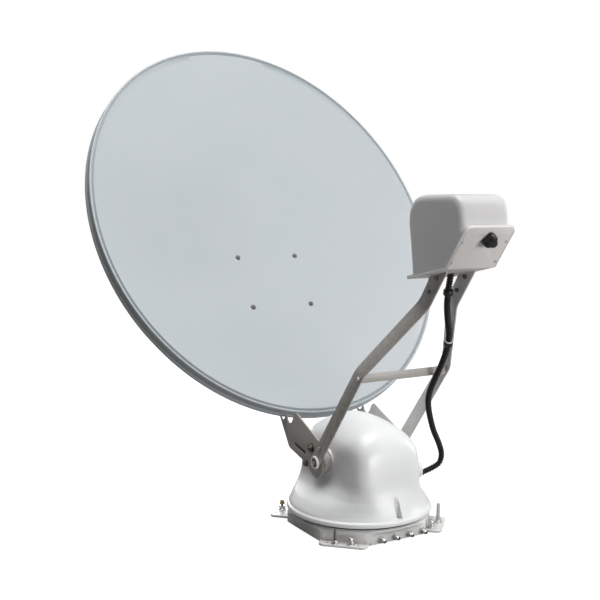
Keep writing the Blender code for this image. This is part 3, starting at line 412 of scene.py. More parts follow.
def turned(name, outline, origin, axis, segments=64):
    """A turned piece from a closed outline of (radius, height) points."""
    place = axis_frame(origin, axis)
    bm = bmesh.new()
    rows = []
    for a in angles(segments):
        ring = [Vector((r * math.cos(a), r * math.sin(a), z)) for r, z in outline]
        rows.append([bm.verts.new(place @ point) for point in ring])
    count = len(outline)
    for a, b in zip(rows, rows[1:] + rows[:1]):
        for k in range(count):
            if max(outline[k][0], outline[(k + 1) % count][0]) > MERGE_DISTANCE:
                bm.faces.new((a[k], a[(k + 1) % count], b[(k + 1) % count], b[k]))
    bmesh.ops.remove_doubles(bm, verts=bm.verts, dist=MERGE_DISTANCE)
    return new_object(name, bm)


def collar(name, origin, axis, bore, radius, low, high, edge, segments):
    """A washer, ring or hub with chamfered outer edges."""
    outline = ((bore, low), (radius - edge, low), (radius, low + edge), (radius, high - edge),
               (radius - edge, high), (bore, high))
    return turned(name, outline, origin, axis, segments)


def flat_washer(origin, axis, bore, radius, low, high):
    return collar("washer", origin, axis, bore, radius, low, high, (high - low) * 0.25, 48)


def hex_piece(name, origin, axis, across, low, high, turn):
    """A hexagon head or nut body, its corners chamfered at both ends."""
    sides, steps = 6, 6
    place = axis_frame(origin, axis)
    radius = across / 2 / math.cos(math.pi / sides)
    step = (high - low) * 0.14
    loops = []
    for height, chamfer in ((low, 0.1), (low + step, 0.0), (high - step, 0.0), (high, 0.1)):
        loop = []
        for k in range(sides * steps):
            a = turn + 2 * math.pi * k / (sides * steps)
            inner = (a - turn + math.pi / sides) % (2 * math.pi / sides) - math.pi / sides
            reach = min(across / 2 / math.cos(math.pi / sides - abs(inner)), radius * (1 - chamfer))
            loop.append(place @ Vector((reach * math.cos(a), reach * math.sin(a), height)))
        loops.append(loop)
    return loft(name, loops)


def threaded(name, origin, axis, radius, low, high, pitch=0.00125, segments=32):
    """A threaded rod with a chamfered end."""
    outline = [(0.0, low), (radius * 0.86, low)]
    height = low
    while height + pitch < high - 0.0008:
        outline += [(radius * 0.87, height + pitch * 0.15), (radius, height + pitch * 0.5),
                    (radius * 0.87, height + pitch * 0.9)]
        height += pitch
    outline += [(radius * 0.9, high - 0.0006), (radius * 0.68, high), (0.0, high)]
    return turned(name, outline, origin, axis, segments)


def merged(name, *objects):
    """Several meshes as one piece. Each keeps its own closed skin."""
    bm = bmesh.new()
    for obj in objects:
        bm.from_mesh(obj.data)
        bpy.data.objects.remove(obj)
    return new_object(name, bm)


def bend_points(start, corner, end, steps):
    """Points round a corner, from where the bend starts to where it ends."""
    shares = [j / steps for j in range(steps + 1)]
    return [start * (1 - t) ** 2 + corner * 2 * t * (1 - t) + end * t**2 for t in shares]


def fillet(points, radius, steps=5):
    """An outline with its corners rounded."""
    out = []
    count = len(points)
    for k in range(count):
        before, corner, after = (Vector(points[(k + d) % count]) for d in (-1, 0, 1))
        back, ahead = before - corner, after - corner
        reach = min(radius, back.length * 0.45, ahead.length * 0.45)
        bend = (corner + back.normalized() * reach, corner, corner + ahead.normalized() * reach)
        out += [tuple(point) for point in bend_points(*bend, steps)]
    return out


def sheet_piece(name, outlines, thickness, place, edge=0.0004):
    """A flat sheet with softened edges and its holes, moved from the XY plane by a matrix."""
    curve = bpy.data.curves.new(name, "CURVE")
    curve.dimensions = "2D"
    curve.fill_mode = "BOTH"
    curve.extrude = thickness / 2 - edge
    curve.bevel_depth = edge
    curve.bevel_resolution = 2
    curve.offset = -edge
    for points in outlines:
        spline = curve.splines.new("POLY")
        spline.points.add(len(points) - 1)
        spline.use_cyclic_u = True
        for point, (u, v) in zip(spline.points, points):
            point.co = (u, v, 0.0, 1.0)
    obj = linked(name, curve)
    mesh = evaluated_mesh(obj)
    bpy.data.objects.remove(obj)
    mesh.transform(place)
    bm = bmesh.new()
    bm.from_mesh(mesh)
    bmesh.ops.remove_doubles(bm, verts=bm.verts, dist=MERGE_DISTANCE)
    bpy.data.meshes.remove(mesh)
    return new_object(name, bm)


def circle(radius, centre=(0.0, 0.0), segments=40):
    turns = angles(segments)
    return [(centre[0] + radius * math.cos(a), centre[1] + radius * math.sin(a)) for a in turns]


def slot_outline(start, end, radius, segments=12):
    angle = math.atan2(end[1] - start[1], end[0] - start[0])
    points = []
    for centre, turn in ((end, -math.pi / 2), (start, math.pi / 2)):
        for k in range(segments + 1):
            a = angle + turn + math.pi * k / segments
            points.append((centre[0] + radius * math.cos(a), centre[1] + radius * math.sin(a)))
    return points


def smoothed(rows, steps):
    """Catmull-Rom steps through rows of numbers, such as a route's points or a form's sections."""
    rows = [Vector(row) for row in rows]
    guide = [2 * rows[0] - rows[1]] + rows + [2 * rows[-1] - rows[-2]]
    out = []
    for p0, p1, p2, p3 in zip(guide, guide[1:], guide[2:], guide[3:]):
        for k in range(steps):
            t = k / steps
            out.append(0.5 * (2 * p1 + (p2 - p0) * t + (2 * p0 - 5 * p1 + 4 * p2 - p3) * t**2
                              + (3 * p1 - p0 - 3 * p2 + p3) * t**3))
    out.append(rows[-1])
    return out


def tube_loops(path, around, side, reach):
    """Loops round a path, with reach giving the radius at a point's number and an angle."""
    turns = angles(around)
    loops = []
    for k, point in enumerate(path):
        way = (path[min(k + 1, len(path) - 1)] - path[max(k - 1, 0)]).normalized()
        side = (side - way * side.dot(way)).normalized()
        other = way.cross(side)
        loops.append([point + (side * math.cos(a) + other * math.sin(a)) * reach(k, a) for a in turns])
    return loops


def folded_sheet(name, stations, thickness, offset):
    """A sheet over pairs of edge points, thickened towards the offset's side."""
    bm = bmesh.new()
    verts = [(bm.verts.new(a), bm.verts.new(b)) for a, b in stations]
    for (a, b), (c, d) in zip(verts, verts[1:]):
        bm.faces.new((a, b, d, c))
    obj = new_object(name, bm, outward=False)
    solid = obj.modifiers.new("sheet", "SOLIDIFY")
    solid.thickness = thickness
    solid.offset = offset
    solid.use_even_offset = True
    return applied(obj)


def strip_piece(name, stations, thickness, offset, bend=0.01):
    """A flat bar bent along fold lines, with a small radius at each fold."""
    pairs = [(Vector(a), Vector(b)) for a, b in stations]
    rows = [pairs[0]]
    for before, here, after in zip(pairs, pairs[1:], pairs[2:]):
        ends = []
        for corner, back, ahead in zip(here, before, after):
            start = corner + (back - corner).normalized() * bend
            end = corner + (ahead - corner).normalized() * bend
            ends.append(bend_points(start, corner, end, 5))
        rows += list(zip(*ends))
    return folded_sheet(name, rows + [pairs[-1]], thickness, offset)


def softened(obj, width):
    """The object with its sharp edges rounded off."""
    bevel = obj.modifiers.new("soften", "BEVEL")
    bevel.width = width
    bevel.segments = 2
    bevel.limit_method = "ANGLE"
    bevel.angle_limit = math.radians(40)
    return applied(obj)


def boolean(target, tool, operation="DIFFERENCE"):
    """Cuts or joins at once, and removes the tool."""
    modifier = target.modifiers.new("boolean", "BOOLEAN")
    modifier.operation = operation
    modifier.solver = "EXACT"
    modifier.object = tool
    applied(target)
    bpy.data.objects.remove(tool)


def rod(name, start, end, radius, segments=48):
    start, end = Vector(start), Vector(end)
    length = (end - start).length
    outline = ((0.0, 0.0), (radius, 0.0), (radius, length), (0.0, length))
    return turned(name, outline, start, end - start, segments)


def drill(target, start, end, radius, segments=48):
    boolean(target, rod("drill", start, end, radius, segments))


def block(name, low, high):
    low, high = Vector(low), Vector(high)
    bm = bmesh.new()
    bmesh.ops.create_cube(bm, size=1.0)
    bmesh.ops.scale(bm, verts=bm.verts, vec=high - low)
    bmesh.ops.translate(bm, verts=bm.verts, vec=(low + high) / 2)
    return new_object(name, bm)


# ---- the dish ----------------------------------------------------------------------------------
DISH_UP = Vector((0.0, math.sin(DISH_TILT), math.cos(DISH_TILT)))
DISH_OUT = Vector((0.0, -math.cos(DISH_TILT), math.sin(DISH_TILT)))
BEAM = DISH_OUT * math.cos(DISH_OFFSET_ANGLE) + DISH_UP * math.sin(DISH_OFFSET_ANGLE)
BEAM_UP = DISH_UP * math.cos(DISH_OFFSET_ANGLE) - DISH_OUT * math.sin(DISH_OFFSET_ANGLE)
APERTURE_OFFSET = 2 * DISH_FOCAL_LENGTH * math.tan(DISH_OFFSET_ANGLE)
CHORD_DEPTH = (APERTURE_OFFSET**2 + DISH_HALF_WIDTH**2) / (4 * DISH_FOCAL_LENGTH)
VERTEX = DISH_CENTRE - APERTURE_OFFSET * BEAM_UP - CHORD_DEPTH * BEAM


def dish_point(across, up):
    height = APERTURE_OFFSET + up
    along = (across**2 + height**2) / (4 * DISH_FOCAL_LENGTH)
    return VERTEX + Vector((across, 0, 0)) + BEAM_UP * height + BEAM * along


def dish_normal(across, up):
    slope = Vector((across, 0, 0)) + BEAM_UP * (APERTURE_OFFSET + up)
    return (BEAM - slope / (2 * DISH_FOCAL_LENGTH)).normalized()


# The rim's section: how far out from the lip, and how far behind the rim's plane.
RIM_SECTION = (
    (-0.0015, 0.0002), (-0.0002, 0.0012), (0.0006, 0.0034), (0.0016, 0.0044), (0.0028, 0.0042),
    (0.0036, 0.0028), (0.0044, 0.0008), (0.0056, -0.0006), (0.0072, -0.0008), (0.0084, 0.0002),
    (0.009, 0.002), (0.009, 0.009), (0.0086, 0.011), (0.008, 0.0124), (0.008, 0.018), (0.0088, 0.0194),
    (0.0104, 0.0204), (0.0116, 0.022), (0.012, 0.0244), (0.0118, 0.0268), (0.0108, 0.0284),
    (0.0092, 0.029), (0.008, 0.028), (0.0072, 0.024), (0.0064, 0.017), (0.005, 0.01), (0.001, 0.0075),
    (-0.002, 0.004),
)

DISH_SEGMENTS = 224
DISH_RINGS = 44
DISH_WASHER = ((0.0032, 0.0002), (0.0062, 0.0002), (0.0064, 0.0006), (0.0062, 0.001), (0.0032, 0.001))
DISH_BOLT_HEAD = (
    (0.0, 0.001), (0.0046, 0.001), (0.0047, 0.0016), (0.004, 0.0029), (0.0026, 0.0037), (0.0019, 0.0038),
    (0.0018, 0.002), (0.0, 0.002),
)


def face_row(bm, share, behind):
    """A ring of vertices on the dish, at that share of its radius and that far behind its face."""
    radius = (DISH_HALF_WIDTH - RIM_WIDTH) * share
    row = []
    for a in angles(DISH_SEGMENTS, 0.5):
        across, up = radius * math.cos(a), radius * math.sin(a)
        row.append(bm.verts.new(dish_point(across, up) - dish_normal(across, up) * behind))
    return row


def rim_row(bm, out, behind):
    row = []
    for a in angles(DISH_SEGMENTS, 0.5):
        edge = Vector((1, 0, 0)) * (DISH_HALF_WIDTH + out) * math.cos(a)
        edge += DISH_UP * (DISH_HALF_HEIGHT + out) * math.sin(a)
        row.append(bm.verts.new(DISH_CENTRE + edge - DISH_OUT * behind))
    return row


def build_dish():
    bm = bmesh.new()
    shares = [(k + 0.15) / (DISH_RINGS + 0.15) for k in range(DISH_RINGS + 1)]
    rows = [face_row(bm, share, 0.0) for share in shares]
    rows += [rim_row(bm, *point) for point in RIM_SECTION]
    rows += [face_row(bm, share, DISH_WALL) for share in shares[::-2]]
    rim = range(DISH_RINGS, DISH_RINGS + len(RIM_SECTION))
    for index, (inner, outer) in enumerate(zip(rows, rows[1:])):
        for j in range(DISH_SEGMENTS):
            after = (j + 1) % DISH_SEGMENTS
            face = bm.faces.new((inner[j], outer[j], outer[after], inner[after]))
            face.material_index = int(index in rim)
    bm.faces.new(rows[0])
    bm.faces.new(rows[-1])
    # The rim takes the lighter copy of the dish paint: painted light on its shaded sides.
    show(new_object("dish", bm), "elevation_frame", (DISH_PAINT_DARKER_FOR_LIT_FACE, RIM_PAINT_LIGHTER_FOR_SHADED_RIM), ("reflector",), angle=50)


def build_dish_bolts():
    spots = [(side * DISH_BOLT_HALF_PITCH, up) for up in DISH_BOLT_UP for side in (-1, 1)]
    for number, spot in enumerate(spots, 1):
        point, normal = dish_point(*spot), dish_normal(*spot)
        washer = turned("washer", DISH_WASHER, point, normal)
        head = turned("head", DISH_BOLT_HEAD, point, normal)
        shank = threaded("shank", point, -normal, 0.0029, 0.0, 0.0066)
        bolt = merged(f"dish_bolt_{number}", washer, head, shank)
        show(bolt, "elevation_frame", DARK_STEEL, (f"reflector_bolt_{number}",))


# ---- base --------------------------------------------------------------------------------------
def octagon(half, diagonal):
    corner = diagonal * math.sqrt(2) - half
    points = []
    for sx, sy in ((1, -1), (1, 1), (-1, 1), (-1, -1)):
        pair = [(sx * half, sy * corner), (sx * corner, sy * half)]
        points += pair if sx * sy > 0 else pair[::-1]
    return points


def base_form(name, inset, levels):
    """The tray's form: an octagon with rounded corners that flows into a circle."""
    corners = [Vector(c) for c in fillet(octagon(BASE_HALF - inset, BASE_DIAGONAL - inset), 0.01, 4)]
    plan = []
    for a, b in zip(corners, corners[1:] + corners[:1]):
        parts = max(1, round((b - a).length / 0.012))
        plan += [a.lerp(b, k / parts) for k in range(parts)]
    loops = []
    for z, roundness, reach in levels:
        loop = []
        for point in plan:
            moved = point.lerp(point.normalized() * (BASE_TOP_RADIUS - inset), roundness)
            moved += point.normalized() * reach
            loop.append((moved.x, moved.y, z))
        loops.append(loop)
    return loft(name, loops)


def lug_outline(corner):
    """A corner lug in plan: a rounded tab that stands out along the diagonal."""
    sx, sy, reach, forward, backward = LUGS[corner][:5]
    out = Vector((sx, sy)) / math.sqrt(2)
    back = Vector((-sx * sy, 1)) / math.sqrt(2)
    radius = 0.012
    points = [out * 0.13 - back * forward]
    for side, half in ((-1, forward), (1, backward)):
        centre = out * (reach - radius) + back * side * (half - radius)
        for k in range(10):
            a = math.pi / 2 * (k / 9 if side > 0 else 1 - k / 9)
            points.append(centre + radius * (out * math.cos(a) + back * side * math.sin(a)))
    points.append(out * 0.13 + back * backward)
    return [tuple(p) for p in points]


def lug_point(corner, backward, inward):
    """A point on a lug, that far towards the rear and that far in from its outer edge."""
    sx, sy, reach = LUGS[corner][:3]
    flat = Vector((sx, sy)) * (reach - inward) + Vector((-sx * sy, 1)) * backward
    return Vector((flat.x, flat.y, 0.0)) / math.sqrt(2)

# The tray's forms: height, how round it is there, and how far out it stands.
TRAY_OUTSIDE = (
    (0.0, 0.0, 0.0), (0.017, 0.0, 0.0), (0.0195, 0.12, 0.0), (0.022, 0.4, 0.0005), (0.024, 0.68, 0.0005),
    (0.026, 0.9, 0.0), (0.0282, 0.97, -0.0012), (BASE_HEIGHT, 1.0, -0.004),
)
TRAY_INSIDE = ((-0.01, 0.0, 0.0), (0.017, 0.0, 0.0), (0.022, 0.4, 0.0005), (BASE_HEIGHT - SHEET, 0.9, 0.0))
LUG_EDGE = 0.0006
SPARE_HOLE_RADIUS = 0.0022
SPARE_HOLE_INWARD = 0.01
PORT_RADIUS = 0.0043
DRAIN = (-0.064, 0.0035)
DRAIN_RADIUS = 0.0016
COAX_TUBE = (
    (0.0009, 0.005), (0.0038, 0.005), (0.0038, 0.0145), (0.0032, 0.0147), (0.0029, 0.014), (0.0029, 0.0118),
    (0.0009, 0.0118),
)


def build_base():
    tray = base_form("base_tray", 0.0, TRAY_OUTSIDE)
    for corner in LUGS:
        place = Matrix.Translation((0, 0, LUG_THICKNESS / 2))
        boolean(tray, sheet_piece("lug", [lug_outline(corner)], LUG_THICKNESS, place, LUG_EDGE), "UNION")
    boolean(tray, base_form("inside", SHEET, TRAY_INSIDE))
    drill(tray, (0, 0, 0.01), (0, 0, 0.04), BASE_HOLE_RADIUS, 96)
    front_holes = [(*DRAIN, DRAIN_RADIUS, 20)] + [(x, CONNECTOR_Z, PORT_RADIUS, 32) for x in CONNECTOR_X]
    for x, z, radius, segments in front_holes:
        drill(tray, (x, -0.15, z), (x, -0.12, z), radius, segments)
    for corner, lug in LUGS.items():
        for backward in lug[5]:
            spot = lug_point(corner, backward, SPARE_HOLE_INWARD)
            drill(tray, spot - Vector((0, 0, 0.01)), spot + Vector((0, 0, 0.02)), SPARE_HOLE_RADIUS, 20)
    show(tray, "base", BASE_PAINT, ("base_plate",), angle=30)


def build_coax_ports():
    for k, x in enumerate(CONNECTOR_X, 1):
        origin, way = (x, -BASE_HALF, CONNECTOR_Z), (0, -1, 0)
        nut = hex_piece("nut", origin, way, 0.0124, 0.0003, 0.0042, turn=0.3 * k)
        thread = threaded("thread", origin, way, 0.005, 0.004, 0.0118, 0.0008)
        tube = turned("tube", COAX_TUBE, origin, way, 32)
        inside = threaded("inside", origin, (0, 1, 0), 0.0038, 0.0, 0.0078, 0.0008)
        show(merged(f"coax_port_{k}", nut, thread, tube, inside), "base", ZINC, (f"coax_connector_{k}",))


# Lug fasteners: place on the lug, top of the stem, finishes of the stem and the nut, stem's radius.
LUG_FASTENERS = {
    "mounting_stud_front_left": (("front_left", 0.016, 0.0095), 0.0335, DARK_STEEL, ZINC, 0.0029),
    "mounting_bolt_front_left": (("front_left", -0.016, 0.0095), 0.0205, ZINC, ZINC, 0.0038),
    "mounting_stud_front_right": (("front_right", 0.0175, 0.0126), 0.045, STEEL, ZINC, 0.0039),
    "mounting_bolt_front_right": (("front_right", -0.018, 0.023), 0.0205, ZINC, ZINC, 0.0038),
    "mounting_stud_rear_left": (("rear_left", 0.014, 0.016), 0.018, DARK_STEEL, ZINC, 0.0034),
    "mounting_stud_rear_right": (("rear_right", 0.014, 0.016), 0.018, DARK_STEEL, ZINC, 0.0034),
}
# Caps, from the lug's upper face.
STUD_CAP = ((0.0, 0.0165), (0.0042, 0.0165), (0.0042, 0.0188), (0.003, 0.0204), (0.0, 0.0208))
BOLT_CAP = ((0.0, 0.0075), (0.005, 0.0075), (0.005, 0.0112), (0.0042, 0.014), (0.0024, 0.0156), (0.0, 0.016))


def build_lug_fasteners():
    deck = Vector((0, 0, LUG_THICKNESS))
    for turn, (name, (spot, top, stem_finish, nut_finish, radius)) in enumerate(LUG_FASTENERS.items()):
        foot = lug_point(*spot)
        origin = foot + deck
        show(threaded(f"{name}_stem", foot, UP, radius, 0.0004, top), "base", stem_finish, (name,))
        parts = [flat_washer(origin, UP, radius, 0.008, 0.0002, 0.0017),
                 hex_piece("nut", origin, UP, 0.0118, 0.0017, 0.0075, turn=0.37 * turn)]
        if "bolt" in name:
            parts.append(turned("cap", BOLT_CAP, origin, UP, 32))
        if "rear" in name:
            top_nut = hex_piece("top_nut", origin, UP, 0.01, 0.012, 0.0165, turn=0.9)
            show(merged(f"{name}_cap", top_nut, turned("cap", STUD_CAP, origin, UP, 32)), "base", BRASS)
        show(merged(f"{name}_nut", *parts), "base", nut_finish)


# ---- head --------------------------------------------------------------------------------------
# Height, half width, front half length, rear half length, squareness, depth of the side pockets.
DOME_SECTIONS = (
    (0.0353, 0.153, 0.153, 0.153, 2.0, 0.0),
    (0.038, 0.1533, 0.1533, 0.1533, 2.0, 0.0),
    (0.0415, 0.153, 0.153, 0.153, 2.0, 0.0),
    (0.0436, 0.1518, 0.1518, 0.1518, 2.0, 0.0),
    (0.0448, 0.1498, 0.1498, 0.1498, 2.0, 0.0),
    (0.0462, 0.1484, 0.1484, 0.1484, 2.0, 0.0),
    (0.05, 0.1468, 0.1468, 0.1468, 2.0, 0.0),
    (0.056, 0.143, 0.144, 0.144, 2.05, 0.001),
    (0.066, 0.132, 0.14, 0.14, 2.25, 0.001),
    (0.074, 0.119, 0.137, 0.1375, 2.6, 0.002),
    (0.082, 0.106, 0.134, 0.1345, 3.1, 0.003),
    (0.09, 0.0965, 0.1315, 0.132, 3.8, 0.003),
    (0.098, 0.0895, 0.1295, 0.1295, 4.6, 0.003),
    (0.108, 0.0855, 0.128, 0.127, 5.4, 0.003),
    (0.122, 0.084, 0.1265, 0.1245, 6.0, 0.003),
    (0.15, 0.082, 0.1235, 0.1205, 6.0, 0.002),
    (0.175, 0.0795, 0.119, 0.114, 5.4, 0.001),
    (0.192, 0.073, 0.112, 0.104, 4.2, 0.0),
    (0.206, 0.062, 0.101, 0.092, 3.2, 0.0),
    (0.217, 0.049, 0.085, 0.076, 2.7, 0.0),
    (0.2265, 0.033, 0.06, 0.052, 2.4, 0.0),
    (0.232, 0.017, 0.031, 0.027, 2.1, 0.0),
    (0.234, 0.005, 0.009, 0.008, 2.0, 0.0),
)
DOME_WALL = 0.003
GLAND_RAISE = 0.0055
POCKET_HALF_LENGTH = 0.072
DOME_SCREW_RADIUS = 0.1385
# Direction of each dome screw, and how high its recess reaches.
DOME_SCREWS = ((math.radians(-90), 0.088), (math.radians(50), 0.07), (math.radians(130), 0.07))
SCREW_RECESS_RADIUS = 0.0066
SCREW_SEAT_RADIUS = 0.0055
SCREW_SEAT_Z = 0.0452
DOME_SEGMENTS = 144
# The dome's inside is its outside, scaled down and lowered by its wall, or by more below the skirt's top.
INNER_SCALE = 0.976
SKIRT_TOP = 0.05
SKIRT_DROP = 0.006
SHAFT_BORE_RADIUS = 0.0165
BOSS_DEPTH = 0.0105
BOSS = (
    (0.0, 0.0), (0.0286, 0.0), (0.0282, 0.009), (0.0276, 0.0101), (0.0264, BOSS_DEPTH),
    (0.0, BOSS_DEPTH),
)
SCREW_HEAD = (
    (0.0, 0.0443), (0.0046, 0.0443), (0.0048, 0.0456), (0.0042, 0.047), (0.0026, 0.0478), (0.0, 0.048),
)
GLAND = (
    (0.0, 0.0), (0.0118, 0.0), (0.0132, -0.0004), (0.0145, -0.0014), (0.0153, -0.003), (0.0155, -0.005),
    (0.0155, -0.03), (0.0, -0.03),
)
GLAND_WAY = Vector((0.92, -0.39, 0.0)).normalized()


def dome_loop(section):
    height, half_width, front, rear, squareness, pocket = section
    loop = []
    for a in angles(DOME_SEGMENTS, 0.5):
        c, s = math.cos(a), math.sin(a)
        half_length = front if s < 0 else rear
        across, along = abs(c / half_width) ** squareness, abs(s / half_length) ** squareness
        radius = (across + along) ** (-1 / squareness)
        x, y = radius * c, radius * s
        sink = max(0.0, pocket) * math.exp(-((y / POCKET_HALF_LENGTH) ** 8))
        loop.append((x - math.copysign(sink, x), y, height))
    return loop


def dome_hollow():
    """The dome's inside, with a well left standing round each screw."""
    loops = []
    for loop in (dome_loop(section) for section in smoothed(DOME_SECTIONS, 2)):
        drop = DOME_WALL if loop[0][2] > SKIRT_TOP else SKIRT_DROP
        loops.append([(x * INNER_SCALE, y * INNER_SCALE, z - drop) for x, y, z in loop])
    hollow = loft("hollow", loops)
    for angle, top in DOME_SCREWS:
        x, y = DOME_SCREW_RADIUS * math.cos(angle), DOME_SCREW_RADIUS * math.sin(angle)
        drill(hollow, (x, y, 0.02), (x, y, top + SHEET), SCREW_RECESS_RADIUS + SHEET, 40)
    return hollow


def build_dome():
    shell = loft("dome_shell", [dome_loop(section) for section in smoothed(DOME_SECTIONS, 4)])
    for side, sign in SIDES:
        origin = (sign * (BOSS_FACE_X - BOSS_DEPTH), 0, ELEVATION_Z)
        boolean(shell, turned("boss", BOSS, origin, (sign, 0, 0), 96), "UNION")
    boolean(shell, dome_hollow())
    drill(shell, (-0.12, 0, ELEVATION_Z), (0.12, 0, ELEVATION_Z), SHAFT_BORE_RADIUS, 64)
    for angle, top in DOME_SCREWS:
        out = Vector((math.cos(angle), math.sin(angle), 0))
        foot, beyond = out * DOME_SCREW_RADIUS, out * (DOME_SCREW_RADIUS + 0.03)
        recess = slot_outline(foot, beyond, SCREW_RECESS_RADIUS, 16)
        boolean(shell, loft("recess", [[(x, y, z) for x, y in recess] for z in (SCREW_SEAT_Z, top)]))
        seat, above = Vector((0, 0, SCREW_SEAT_Z - 0.0012)), Vector((0, 0, 0.06))
        drill(shell, foot + seat, foot + above, SCREW_SEAT_RADIUS, 40)
    show(shell, "head", GLOSS_WHITE, ("dome",), angle=42)


def build_head_screws():
    for k, (angle, _) in enumerate(DOME_SCREWS, 1):
        x, y = DOME_SCREW_RADIUS * math.cos(angle), DOME_SCREW_RADIUS * math.sin(angle)
        head = turned(f"head_screw_{k}", SCREW_HEAD, (x, y, 0), UP, 32)
        for wide, deep in ((0.0028, 0.0005), (0.0005, 0.0028)):
            boolean(head, block("cross", (x - wide, y - deep, 0.0468), (x + wide, y + deep, 0.05)))
        show(head, "head", STEEL, (f"dome_screw_{k}",))


def build_gland():
    mouth = Vector(CONDUIT_ROUTE[2])
    gland = turned("gland", GLAND, mouth + Vector((0, 0, GLAND_RAISE)), GLAND_WAY, 72)
    drill(gland, mouth - GLAND_WAY * 0.06, mouth + GLAND_WAY * 0.02, CONDUIT_RADIUS + 0.0006)
    show(softened(gland, 0.0005), "head", WHITE_NYLON, ("cable_gland",), angle=30)


# ---- elevation frame ---------------------------------------------------------------------------
BRACKET_OUTLINE = (
    (-0.014, 0.1815), (-0.024, 0.152), (-0.018, 0.122), (0.0, 0.106), (0.014, 0.105),
    (0.058, 0.13), (0.12, 0.145), (0.16, 0.203), (0.232, 0.269), (0.304, 0.34),
    (0.372, 0.412), (0.452, 0.52), (0.456, 0.549), (0.439, 0.561), (0.422, 0.539),
    (0.342, 0.4295), (0.282, 0.361), (0.212, 0.289), (0.184, 0.246), (0.165, 0.22),
    (0.158, 0.206), (0.152, 0.2), (0.144, 0.202), (0.1395, 0.207), (0.1355, 0.2135),
    (0.131, 0.212), (0.1285, 0.204), (0.122, 0.199), (0.113, 0.1995), (0.106, 0.207),
    (0.1, 0.2205), (0.09, 0.227),
)
BRACKET_SLOT = ((0.0535, 0.1495), (0.094, 0.1575))
RAIL_SIZE = 0.024
# The bracket bolts: their place in Y and Z, the nut's width across its flats and the stem's length.
BRACKET_BOLTS = ((0.024, 0.166, 0.014, 0.01), (0.045, 0.1276, 0.0098, 0.008))
BRACKET_HOLE_RADIUS = 0.0053
BRACKET_CORNER = 0.0045
BRACKET_SLOT_RADIUS = 0.0042
BACKING_X = (0.097, 0.0988)
YZ_PLANE = Matrix(((0, 0, 1), (1, 0, 0), (0, 1, 0))).to_4x4()


def build_brackets():
    for side, sign in SIDES:
        outlines = [fillet(BRACKET_OUTLINE, BRACKET_CORNER), circle(BRACKET_HOLE_RADIUS, (0, ELEVATION_Z)),
                    slot_outline(*BRACKET_SLOT, BRACKET_SLOT_RADIUS)]
        place = Matrix.Translation((sign * sum(BRACKET_X) / 2, 0, 0)) @ YZ_PLANE
        plate = sheet_piece(f"side_bracket_{side}", outlines, SHEET, place)
        # Left bracket in the darker copy, right bracket in the lighter one: painted shade and painted light.
        show(plate, "elevation_frame", SHADED_AND_LIT_SIDE_PAINTS[side], (f"bracket_{side}",), angle=30)
        for k, (y, z, across, reach) in enumerate(BRACKET_BOLTS, 1):
            origin, way = (sign * BRACKET_X[1], y, z), (sign, 0, 0)
            washer = flat_washer(origin, way, 0.0026, across * 0.7, 0.0001, 0.0013)
            nut = hex_piece("nut", origin, way, across, 0.0013, 0.0062, turn=0.4 * k)
            stem = threaded("stem", origin, way, 0.0029, -0.004, reach)
            show(merged(f"bracket_bolt_{side}_{k}", washer, nut, stem), "elevation_frame", DARK_STEEL)
        near, far = sorted(sign * x for x in BACKING_X)
        backing = block(f"slot_backing_{side}", (near, 0.045, 0.144), (far, 0.1, 0.163))
        show(softened(backing, 0.0004), "elevation_frame", DARK_STEEL)


def build_rails():
    half = RAIL_SIZE / 2
    wide = BRACKET_X[0] - 0.0003
    section = fillet([(-half, -half), (half, -half), (half, half), (-half, half)], 0.003, 4)
    for name, up in (("lower", DISH_BOLT_UP[1]), ("upper", DISH_BOLT_UP[0])):
        point, normal = dish_point(DISH_BOLT_HALF_PITCH, up), dish_normal(DISH_BOLT_HALF_PITCH, up)
        inward = Vector((0, -normal.y, -normal.z)).normalized()
        centre = Vector((0, point.y, point.z)) + inward * (DISH_WALL + 0.0055 + half)
        rail = loft(f"rail_{name}", [[(x, u, v) for u, v in section] for x in (-wide, wide)])
        boolean(rail, block("bore", (-0.12, 0.002 - half, 0.002 - half), (0.12, half - 0.002, half - 0.002)))
        turn = Matrix.Rotation(math.atan2(inward.z, inward.y), 4, "X")
        rail.matrix_world = Matrix.Translation(centre) @ turn
        show(rail, "elevation_frame", RAIL_PAINT, (f"cross_rail_{name}",), angle=30)


# The arms' fold lines, each from the bar's rear edge to its front edge, and their bolts in Y and Z.
ARM_STATIONS = (
    ((ARM_OUTER_X, 0.023, 0.145), (ARM_OUTER_X, 0.009, 0.111)),
    ((ARM_OUTER_X, -0.1438, 0.3589), (ARM_OUTER_X, -0.1687, 0.3453)),
    ((ARM_TOP_X, -0.2456, 0.4971), (ARM_TOP_X, -0.2726, 0.4829)),
    ((ARM_TOP_X, -0.2756, 0.5424), (ARM_TOP_X, -0.323, 0.5529)),
)
ARM_BOLTS = ((-0.155, 0.3415), (-0.0133, 0.1724))
ARM_TOP_BOLTS = ((-0.296, 0.54), (-0.274, 0.514))


def build_arms():
    for side, sign in SIDES:
        stations = [[(sign * x, y, z) for x, y, z in pair] for pair in ARM_STATIONS]
        arm = strip_piece(f"arm_{side}", stations, SHEET, offset=sign)
        drill(arm, (sign * 0.09, 0, ELEVATION_Z), (sign * 0.12, 0, ELEVATION_Z), BRACKET_HOLE_RADIUS)
        # Left arm in the darker copy, right arm in the lighter one: painted shade and painted light.
        show(softened(arm, 0.0005), "elevation_frame", SHADED_AND_LIT_SIDE_PAINTS[side], (f"feed_arm_{side}",), angle=30)
        for k, (y, z) in enumerate(ARM_BOLTS, 1):
            origin, way = (sign * ARM_OUTER_X, y, z), (sign, 0, 0)
            head = hex_piece(f"arm_bolt_{side}_{k}", origin, way, 0.008, 0.0002, 0.0036, turn=0.5 * k)
            show(head, "elevation_frame", ZINC)


